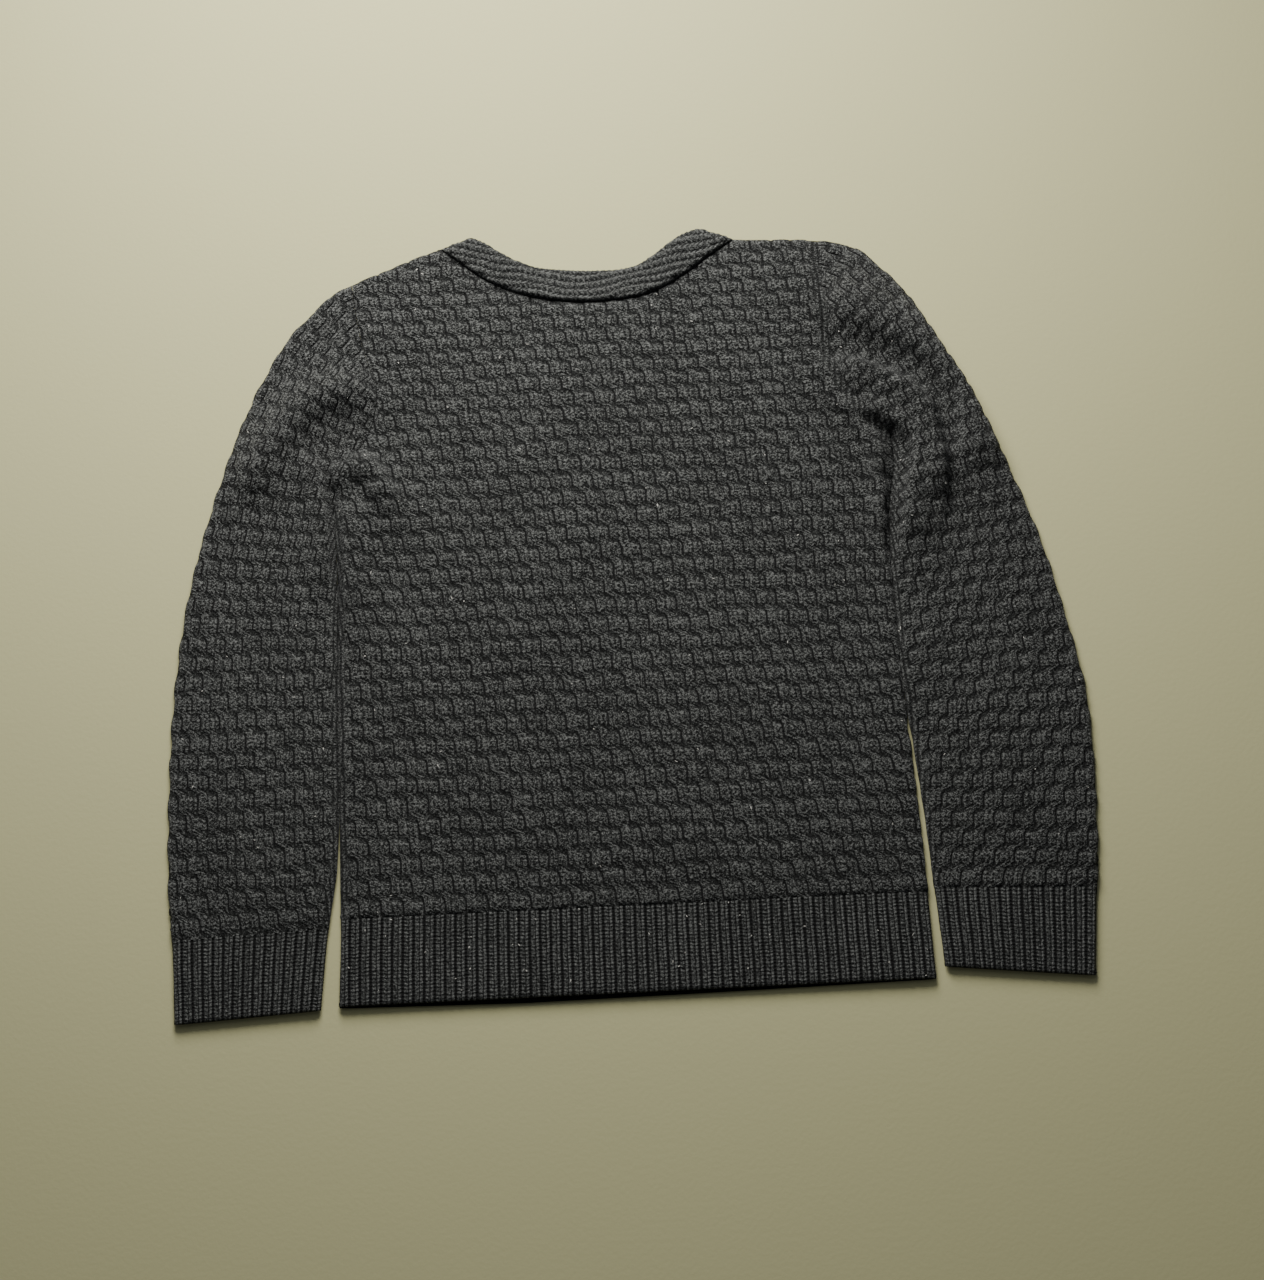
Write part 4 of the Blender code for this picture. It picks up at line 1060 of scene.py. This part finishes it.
fuzz = fuzzGroup()
cableWool = makeWool("cableWool", yarnGroup("cableYarn", "cable"), fuzz)
ribWool = makeWool("ribWool", yarnGroup("ribYarn", "rib"), fuzz, 0.9, 0.6)
cordWool = makeWool("neckWool", yarnGroup("neckYarn", "cord"), fuzz, 0.9, 0.75)
cableTree = reliefTree("cableKnit", cablesAndWales, cableWool)
ribTree = reliefTree("ribKnit", ribHeight, ribWool)
cordTree = reliefTree("neckKnit", cordHeight, cordWool)
print("materials ready")


backPanel = {
    "samples": (6, 8),       # points to a half cell, and to a row
    "relief": 1.45, "lay": 0.15, "seamDip": 1.6, "seamWidth": 5.0, "uneven": (0.04, 0.025),
    "hemDepth": 70.0,
    "plainStrips": [(curve["bodyLeft"], 7.0), (curve["armholeRight"], 8.5)],
}
frontPanel = dict(backPanel, samples=(4, 5), relief=0.9, peak=1.3)


def bodyEdges(neck):
    left = stretchBetween(curve["bodyLeft"], backPanel["hemDepth"], curve["bodyLeft"][-1, 1])
    right = stretchBetween(curve["bodyRight"], backPanel["hemDepth"], curve["bodyRight"][-1, 1])
    return [("join", straightLine(left[0], right[0])), ("fold", right),
            ("seam", curve["armholeRight"]), ("fold", curve["shoulderRight"]),
            *[("seam", line) for line in neck],
            ("fold", curve["shoulderLeft"][::-1]), ("seam", curve["armholeLeft"][::-1]),
            ("fold", left[::-1])]


bodyCells = bodyLattice()
backEdges = bodyEdges([curve["neckBack"][::-1]])
back = raiseKnit(makePanel("back_panel", backEdges, bodyCells, backPanel),
                 cableTree, backPanel["relief"])

placketFoot = [(placket["right"], placket["foot"]), (placket["left"], placket["foot"])]
frontEdges = bodyEdges([
    curve["neckFrontRight"],
    straightLine(curve["neckFrontRight"][-1], placketFoot[0]),
    straightLine(*placketFoot),
    straightLine(placketFoot[1], curve["neckFrontLeft"][-1]),
    curve["neckFrontLeft"][::-1]])
front = raiseKnit(makePanel("front_panel", frontEdges, bodyCells, frontPanel, lower=True),
                  cableTree, frontPanel["relief"], frontPanel["peak"])

sleeve = {
    "samples": (6, 8), "samplesBelow": (4, 5),
    "relief": 1.4, "peak": 1.3, "lay": 0.0, "seamDip": 1.6, "seamWidth": 5.0, "uneven": (0.04, 0.025),
    "feet": {"left": (59.0, 63.0), "right": (67.0, 73.0)},
}


def sleeveEdges(side):
    word = side.capitalize()
    outerFoot, innerFoot = sleeve["feet"][side]
    outer, inner = curve[f"sleeve{word}Outer"], curve[f"sleeve{word}Inner"]
    outer = stretchBetween(outer, outerFoot, outer[0, 1])
    inner = stretchBetween(inner, innerFoot, inner[0, 1])
    armhole = curve[f"armhole{word}"]
    if side == "left":
        return [("join", straightLine(outer[-1], inner[-1])), ("fold", inner[::-1]),
                ("seam", armhole), ("fold", outer)]
    return [("join", straightLine(inner[-1], outer[-1])), ("fold", outer[::-1]),
            ("seam", armhole[::-1]), ("fold", inner)]


sleeves = {}
for side in ("left", "right"):
    word = side.capitalize()
    piece = dict(sleeve, plainStrips=[(curve[f"sleeve{word}Inner"], 6.0)])
    made = makeTube(f"sleeve_{side}_knit", sleeveEdges(side), sleeveLattice(side), piece)
    sleeves[side] = raiseKnit(made, cableTree, sleeve["relief"], sleeve["peak"])

# The hem and cuffs: 1x1 rib whose columns fan out between the two folded sides.
welt = {
    "ribs": 56, "cuffRibs": 15, "course": 2.95, "frontDrop": (1.0, 3.8, 2.8, 0.6),
    "dropAt": (0.0, 0.3, 0.6, 1.0),
    "relief": 0.8, "peak": 1.0, "lay": 0.15, "seamDip": 0.0, "seamWidth": 5.0,
    "uneven": (0.012, 0.05),
}


def ribLattice(low, high, ribs, course):
    bottomLeft, bottomRight, topLeft, topRight = low[0], low[-1], high[0], high[-1]
    rows = np.linalg.norm((topLeft + topRight - bottomLeft - bottomRight) / 2) / course

    def place(u, v):
        u, v = u[:, None], v[:, None]
        return (1 - v) * ((1 - u) * bottomLeft + u * bottomRight) \
            + v * ((1 - u) * topLeft + u * topRight)

    def toLattice(points):
        u, v = np.full(len(points), 0.5), np.full(len(points), 0.5)
        zero, one = np.zeros(len(points)), np.ones(len(points))
        for _ in range(8):
            start, run = place(zero, v), place(one, v) - place(zero, v)
            u = np.sum((points - start) * run, axis=1) / np.sum(run * run, axis=1)
            start, run = place(u, zero), place(u, one) - place(u, zero)
            v = np.sum((points - start) * run, axis=1) / np.sum(run * run, axis=1)
        return np.column_stack([u * ribs, v * rows])

    def fromLattice(column, row):
        return place(column / ribs, row / rows)

    return toLattice, fromLattice


def weltEdges(left, right):
    low, high = straightLine(left[0], right[0]), straightLine(left[-1], right[-1])
    edges = [("free", low), ("fold", right), ("join", high[::-1]), ("fold", left[::-1])]
    return edges, low, high


def rising(line):
    return line if line[0, 1] < line[-1, 1] else line[::-1]


hemEdges, low, high = weltEdges(
    rising(stretchBetween(curve["bodyLeft"], 0, backPanel["hemDepth"])),
    rising(stretchBetween(curve["bodyRight"], 0, backPanel["hemDepth"])))
hemRibs = ribLattice(low, high, welt["ribs"], welt["course"])
hemBack = raiseKnit(makePanel("hem_welt_back", hemEdges, hemRibs, dict(welt, samples=(10, 3))),
                    ribTree, welt["relief"])
# The front's welt hangs a little past the back's and shows as a dark line under it.
share = np.linspace(0, 1, 60)
drop = np.interp(share, welt["dropAt"], welt["frontDrop"])
frontLow = low[0] + share[:, None] * (low[-1] - low[0]) - np.column_stack([0 * drop, drop])
frontHemEdges = [("free", frontLow)] + [(kind, line.copy()) for kind, line in hemEdges[1:]]
frontHemEdges[1][1][0], frontHemEdges[3][1][-1] = frontLow[-1], frontLow[0]
made = makePanel("hem_welt_front", frontHemEdges, hemRibs, dict(welt, samples=(8, 2)), lower=True)
hemFront = raiseKnit(made, ribTree, welt["relief"], welt["peak"])

cuffs, cuffEdges = {}, {}
for side in ("left", "right"):
    word = side.capitalize()
    outerTop, innerTop = sleeve["feet"][side]
    outer, inner = curve[f"sleeve{word}Outer"], curve[f"sleeve{word}Inner"]
    outer = rising(stretchBetween(outer, outer[-1, 1], outerTop))
    inner = rising(stretchBetween(inner, inner[-1, 1], innerTop))
    first, second = (outer, inner) if side == "left" else (inner, outer)
    cuffEdges[side], low, high = weltEdges(first, second)
    piece = dict(welt, lay=0.0, samples=(10, 3), samplesBelow=(8, 2))
    made = makeTube(f"cuff_{side}_rib", cuffEdges[side],
                    ribLattice(low, high, welt["cuffRibs"], welt["course"]), piece)
    cuffs[side] = raiseKnit(made, ribTree, welt["relief"], welt["peak"])

# The neckband: thick ribs that run along it, flatter than its own curve but for a sag in the
# middle, so that the seam and the edge cut them off on both sides.
neckband = {
    "ridge": 6.6, "ridges": 5, "course": 4.3, "flatten": 0.30, "sag": (-14.0, 9.0, 33.0),
    "proud": 3.3, "roll": 9.0, "step": 3.0,
    "relief": 1.5, "frontRelief": 0.9, "frontPeak": 0.8, "lay": 0.15,
    "seamDip": 0.0, "seamWidth": 5.0, "uneven": (0.07, 0.14),
}


def neckLattice(line, piece):
    line = line[np.argsort(line[:, 0])]
    lowest = line[:, 1].min()
    middle, depth, width = piece["sag"]
    xs = np.linspace(line[0, 0] - rowReach, line[-1, 0] + rowReach, 160)
    ys = lowest + (np.interp(xs, line[:, 0], line[:, 1]) - lowest) * piece["flatten"] \
        - depth * np.exp(-((xs - middle) / width) ** 2)
    along = lineLengths(np.column_stack([xs, ys]))

    def toLattice(points):
        base = np.interp(points[:, 0], xs, ys)
        return np.column_stack([(points[:, 1] - base) / piece["ridge"],
                                np.interp(points[:, 0], xs, along) / piece["course"]])

    def fromLattice(column, row):
        x = np.interp(row * piece["course"], along, xs)
        return np.column_stack([x, np.interp(x, xs, ys) + column * piece["ridge"]])

    return toLattice, fromLattice


# Ribs that follow a strip from one long side to the other.
def stripLattice(first, second, ribs, course):
    stations = np.linspace(0, 1, 120)
    a = alongLine(first, stations * lineLengths(first)[-1])
    b = alongLine(second, stations * lineLengths(second)[-1])
    along = lineLengths((a + b) / 2)

    def fromLattice(column, row):
        share = (column / ribs)[:, None]
        at = row * course
        low = np.column_stack([np.interp(at, along, a[:, k]) for k in (0, 1)])
        high = np.column_stack([np.interp(at, along, b[:, k]) for k in (0, 1)])
        past = at - np.clip(at, 0, along[-1])
        heading = np.where((past > 0)[:, None], a[-1] + b[-1] - a[-2] - b[-2],
                           a[1] + b[1] - a[0] - b[0])
        heading /= np.linalg.norm(heading, axis=1)[:, None]
        return low + (high - low) * share + past[:, None] * heading

    def rowAt(at):
        start = fromLattice(np.zeros(len(at)), at / course)
        return start, fromLattice(np.ones(len(at)), at / course) - start

    def toLattice(points):
        at = findRow(points, -rowReach, along[-1] + rowReach, rowAt, turn)
        start, run = rowAt(at)
        column = np.sum((points - start) * run, axis=1) / np.sum(run * run, axis=1)
        return np.column_stack([column, at / course])

    turn = 1.0 if cross(b[0] - a[0], a[1] - a[0]) > 0 else -1.0
    return toLattice, fromLattice


seamLine, topLine = curve["neckBack"], curve["neckBackTop"]
neckBackEdges = [("seam", seamLine), ("fold", straightLine(seamLine[-1], topLine[-1])),
                 ("neck", topLine[::-1]), ("fold", straightLine(topLine[0], seamLine[0]))]
made = makePanel("neckband_back_rib", neckBackEdges, neckLattice(seamLine, neckband),
                 dict(neckband, samples=(8, 3)))
neckBackBand = raiseKnit(made, cordTree, neckband["relief"])

neckFrontBands, neckFrontEdges = {}, {}
for side in ("left", "right"):
    word = side.capitalize()
    seamLine, innerLine = curve[f"neckFront{word}"], curve[f"neckInner{word}"]
    edges = [("seam", seamLine), ("seam", straightLine(seamLine[-1], innerLine[-1])),
             ("free", innerLine[::-1]), ("fold", straightLine(innerLine[0], seamLine[0]))]
    if side == "right":
        edges = [(kind, line[::-1]) for kind, line in edges[::-1]]
    neckFrontEdges[side] = edges
    ribs = stripLattice(seamLine, innerLine, neckband["ridges"], neckband["course"])
    made = makePanel(f"neckband_front_{side}_rib", edges, ribs, dict(neckband, samples=(6, 2)),
                     lower=True)
    neckFrontBands[side] = raiseKnit(made, cordTree, neckband["frontRelief"],
                                     neckband["frontPeak"])

# The placket's two bands, knitted lengthways; they lie on the hidden side.
band = {"ribs": 4, "samples": (8, 2), "relief": 0.45, "peak": 1.0, "uneven": (0.02, 0.05)}
bands, bandEdges = {}, {}


# A CAD node's low and high corners in the hem's frame.
def boxInHem(node):
    return [(np.array(corner) - hemMiddle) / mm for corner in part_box(node)]


for node in ("placket_buttonhole_band", "placket_button_band"):
    (left, foot, under), (right, head, over) = boxInHem(node)
    places = [(left, foot), (right, foot), (right, head), (left, head)]
    edges = [("join", straightLine(a, b)) for a, b in zip(places, places[1:] + places[:1])]
    ribs = ribLattice(np.array(places[:2]), np.array(places[:1:-1]), band["ribs"], welt["course"])
    piece = dict(band, outside=lambda p, e, q: np.full(len(p), under),
                 inside=lambda p, e, q: np.full(len(p), over))
    made = makePanel(node + "_rib", edges, ribs, piece, lower=True)
    bands[node] = raiseKnit(made, ribTree, band["relief"], band["peak"])
    bandEdges[node] = edges


button = {
    "dark": (0.010, 0.008, 0.006), "pale": (0.035, 0.024, 0.016), "roughness": 0.38,
    "grain": 260.0, "grainDetail": 4.0, "grainTwist": 1.6, "darkTo": 0.35, "paleFrom": 0.75,
    "coat": 0.25, "coatRoughness": 0.3,
    "holeOut": 1.9, "thread": 0.42, "threadRing": 0.52,
    "holeEdge": (1.3, 8.6), "holeEdgeHeight": 2.75, "edgeThread": 0.38,
}


def hornMaterial():
    made, tree, shader = newMaterial("darkHorn", button["dark"], button["roughness"])
    grain = noiseValue(tree, {"Scale": button["grain"], "Detail": button["grainDetail"],
                              "Distortion": button["grainTwist"]})
    stops = [(button["darkTo"], button["dark"]), (button["paleFrom"], button["pale"])]
    feed(tree, shader, {"Base Color": colourRamp(tree, grain, stops),
                        "Coat Weight": button["coat"], "Coat Roughness": button["coatRoughness"]})
    return made


# A ring of thread round each point, drawn out to its width and length.
def threadTree(material):
    tree, given = startTree("threads", "GeometryNodeTree",
                            {"Geometry": None, "Thread": 0.0, "Width": 0.0, "Length": 0.0},
                            {"Geometry": None})
    ring, profile = [outputOf(tree, "GeometryNodeCurvePrimitiveCircle",
                              {"Resolution": resolution, "Radius": radius})
                     for resolution, radius in ((32, 1.0), (8, given["Thread"]))]
    size = outputOf(tree, "ShaderNodeCombineXYZ", {0: given["Width"], 1: given["Length"], 2: 1.0})
    shaped = outputOf(tree, "GeometryNodeTransform", {"Geometry": ring, "Scale": size})
    cord = outputOf(tree, "GeometryNodeCurveToMesh", {"Curve": shaped, "Profile Curve": profile})
    copies = outputOf(tree, "GeometryNodeInstanceOnPoints",
                      {"Points": given["Geometry"], "Instance": cord})
    return finishGeometry(tree, copies, material)


def makeThreads(name, places, thread, width, length):
    made = makeObject(name, places, [], {})
    growKnit(made, threads, {"Thread": thread * mm, "Width": width * mm, "Length": length * mm})
    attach(made, "root")


horn = hornMaterial()
threads = threadTree(ribWool)
middles = []
for number in (1, 2, 3):
    node = f"button_{number}"
    bpy.data.objects[node].material_slots[0].material = horn
    low, high = boxInHem(node)
    middles.append((low + high) / 2)
makeThreads("button_threads",
            [(x + a * button["holeOut"], y + b * button["holeOut"], z)
             for x, y, z in middles for a in (-1, 1) for b in (-1, 1)],
            button["thread"], button["threadRing"], button["threadRing"])
makeThreads("buttonhole_stitches", [(x, y, button["holeEdgeHeight"]) for x, y, _ in middles],
            button["edgeThread"], *button["holeEdge"])

lint = {
    "colour": (0.62, 0.60, 0.55), "roughness": 0.9, "fleck": 0.70, "density": 230.0,
    "hemDensity": 1100.0, "facing": 0.5,
    "size": ((0.7, 0.3, 0.25), (2.3, 0.7, 0.45), 3),    # least, most and the seed
    "turn": ((-0.3, -0.3, 0.0), (0.3, 0.3, 6.28), 4),
    "fleckPoints": 42,
}


# Pale flecks of lint, thrown over what faces up.
def lintTree(material):
    tree, given = startTree("lint", "GeometryNodeTree",
                            {"Geometry": None, "Density": 0.0, "Fleck": 0.0, "Seed": 0},
                            {"Geometry": None})
    normal = splitVector(tree, outputOf(tree, "GeometryNodeInputNormal", {}))
    thrown = outputOf(tree, "GeometryNodeDistributePointsOnFaces", {
        "Mesh": given["Geometry"], "Selection": normal[2].math("GREATER_THAN", lint["facing"]),
        "Density": given["Density"], "Seed": given["Seed"]}, "Points")
    fleck = outputOf(tree, "GeometryNodeMeshIcoSphere",
                     {"Subdivisions": 2, "Radius": given["Fleck"]})
    size, turn = [outputOf(tree, "FunctionNodeRandomValue", {"Min": low, "Max": high, "Seed": seed},
                           "Value", data_type="FLOAT_VECTOR")
                  for low, high, seed in (lint["size"], lint["turn"])]
    copies = outputOf(tree, "GeometryNodeInstanceOnPoints",
                      {"Points": thrown, "Instance": fleck, "Rotation": turn, "Scale": size})
    return finishGeometry(tree, copies, material)


flecks = lintTree(newMaterial("paleLint", lint["colour"], lint["roughness"])[0])
for number, host in enumerate((back, sleeves["left"], sleeves["right"], hemBack)):
    made = linkObject(f"lint_{number + 1}", host.data.copy())
    density = lint["hemDensity" if host is hemBack else "density"]
    growKnit(made, flecks, {"Density": density, "Fleck": lint["fleck"] * mm, "Seed": 11 + number})
    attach(made, "root")
    print("lint", len(made.data.vertices) // lint["fleckPoints"])

for node, made in bands.items():
    settle(made, node, bandEdges[node])
settle(back, "back", backEdges)
settle(front, "front", frontEdges)
settle(hemBack, "hem_back", hemEdges)
settle(hemFront, "hem_front", frontHemEdges)
settle(neckBackBand, "neckband_back", neckBackEdges)
for side in ("left", "right"):
    settle(sleeves[side], f"sleeve_{side}", sleeveEdges(side), 2)
    settle(cuffs[side], f"cuff_{side}", cuffEdges[side], 2)
    settle(neckFrontBands[side], f"neckband_front_{side}", neckFrontEdges[side])


view = {
    "elevation": 75.0, "turn": 2.8, "distance": 2600.0, "aim": (10.26, 291.1), "scale": 0.82,
    "frame": (1264, 1280), "sensor": 36.0, "clipEnd": 20.0,
}


def makeCamera():
    rise, turn = math.radians(view["elevation"]), math.radians(view["turn"])
    c, s = math.cos(turn), math.sin(turn)
    spin = np.array([[c, s, 0], [-s, c, 0], [0, 0, 1]])
    ahead = spin @ np.array([0, math.cos(rise), -math.sin(rise)])
    right = spin @ np.array([1.0, 0, 0])
    up = np.cross(right, ahead)
    place = np.array([*view["aim"], 0.0]) * mm + hemMiddle - ahead * view["distance"] * mm
    lens = bpy.data.cameras.new("camera")
    lens.sensor_width = view["sensor"]
    lens.lens = view["sensor"] * view["distance"] / (view["scale"] * max(view["frame"]))
    lens.clip_end = view["clipEnd"]
    made = linkObject("camera", lens)
    made.matrix_world = Matrix([[right[k], up[k], -ahead[k], place[k]] for k in range(3)]
                               + [[0, 0, 0, 1]])
    bpy.context.scene.camera = made


# The room's sizes and places are metres.
lights = {
    "window": {"place": (-0.15, 0.90, 0.74), "size": 0.8, "power": 25.5, "colour": (1.0, 0.985, 0.95)},
    "fill": {"place": (0.0, 0.9, 2.2), "size": 1.6, "power": 4.0, "colour": (0.95, 0.98, 1.0)},
}
sky = {"Color": (0.9, 0.95, 1.0, 1), "Strength": 0.085}
ground = {
    "colour": (0.525, 0.505, 0.272), "roughness": 0.85, "size": 4.0, "below": 0.0002,
    "grain": 260.0, "grainDetail": 5.0, "bump": 0.25, "bumpDepth": 0.0006,
}


def makeLight(name, place, size, power, colour):
    lamp = bpy.data.lights.new(name, "AREA")
    lamp.shape = "DISK"
    lamp.size, lamp.energy, lamp.color = size, power, colour
    made = linkObject(name, lamp)
    made.location = place
    made.rotation_euler = (-made.location).to_track_quat("-Z", "Y").to_euler()


def makeFloor():
    made, tree, shader = newMaterial("paleFloor", ground["colour"], ground["roughness"])
    grain = noiseValue(tree, {"Scale": ground["grain"], "Detail": ground["grainDetail"]})
    feed(tree, shader, {"Normal": bumpNormal(tree, grain, ground["bump"], ground["bumpDepth"])})
    mesh = bpy.data.meshes.new("floor")
    size = ground["size"]
    corners = [(x * size, y * size, -ground["below"])
               for x, y in ((-1, -1), (1, -1), (1, 1), (-1, 1))]
    mesh.from_pydata(corners, [], [(0, 1, 2, 3)])
    mesh.materials.append(made)
    linkObject("floor", mesh)


makeCamera()
for name, lamp in lights.items():
    makeLight(name, **lamp)
makeFloor()
world = bpy.data.worlds.new("softRoom")
world.use_nodes = True
feed(world.node_tree, world.node_tree.nodes["Background"], sky)
bpy.context.scene.world = world
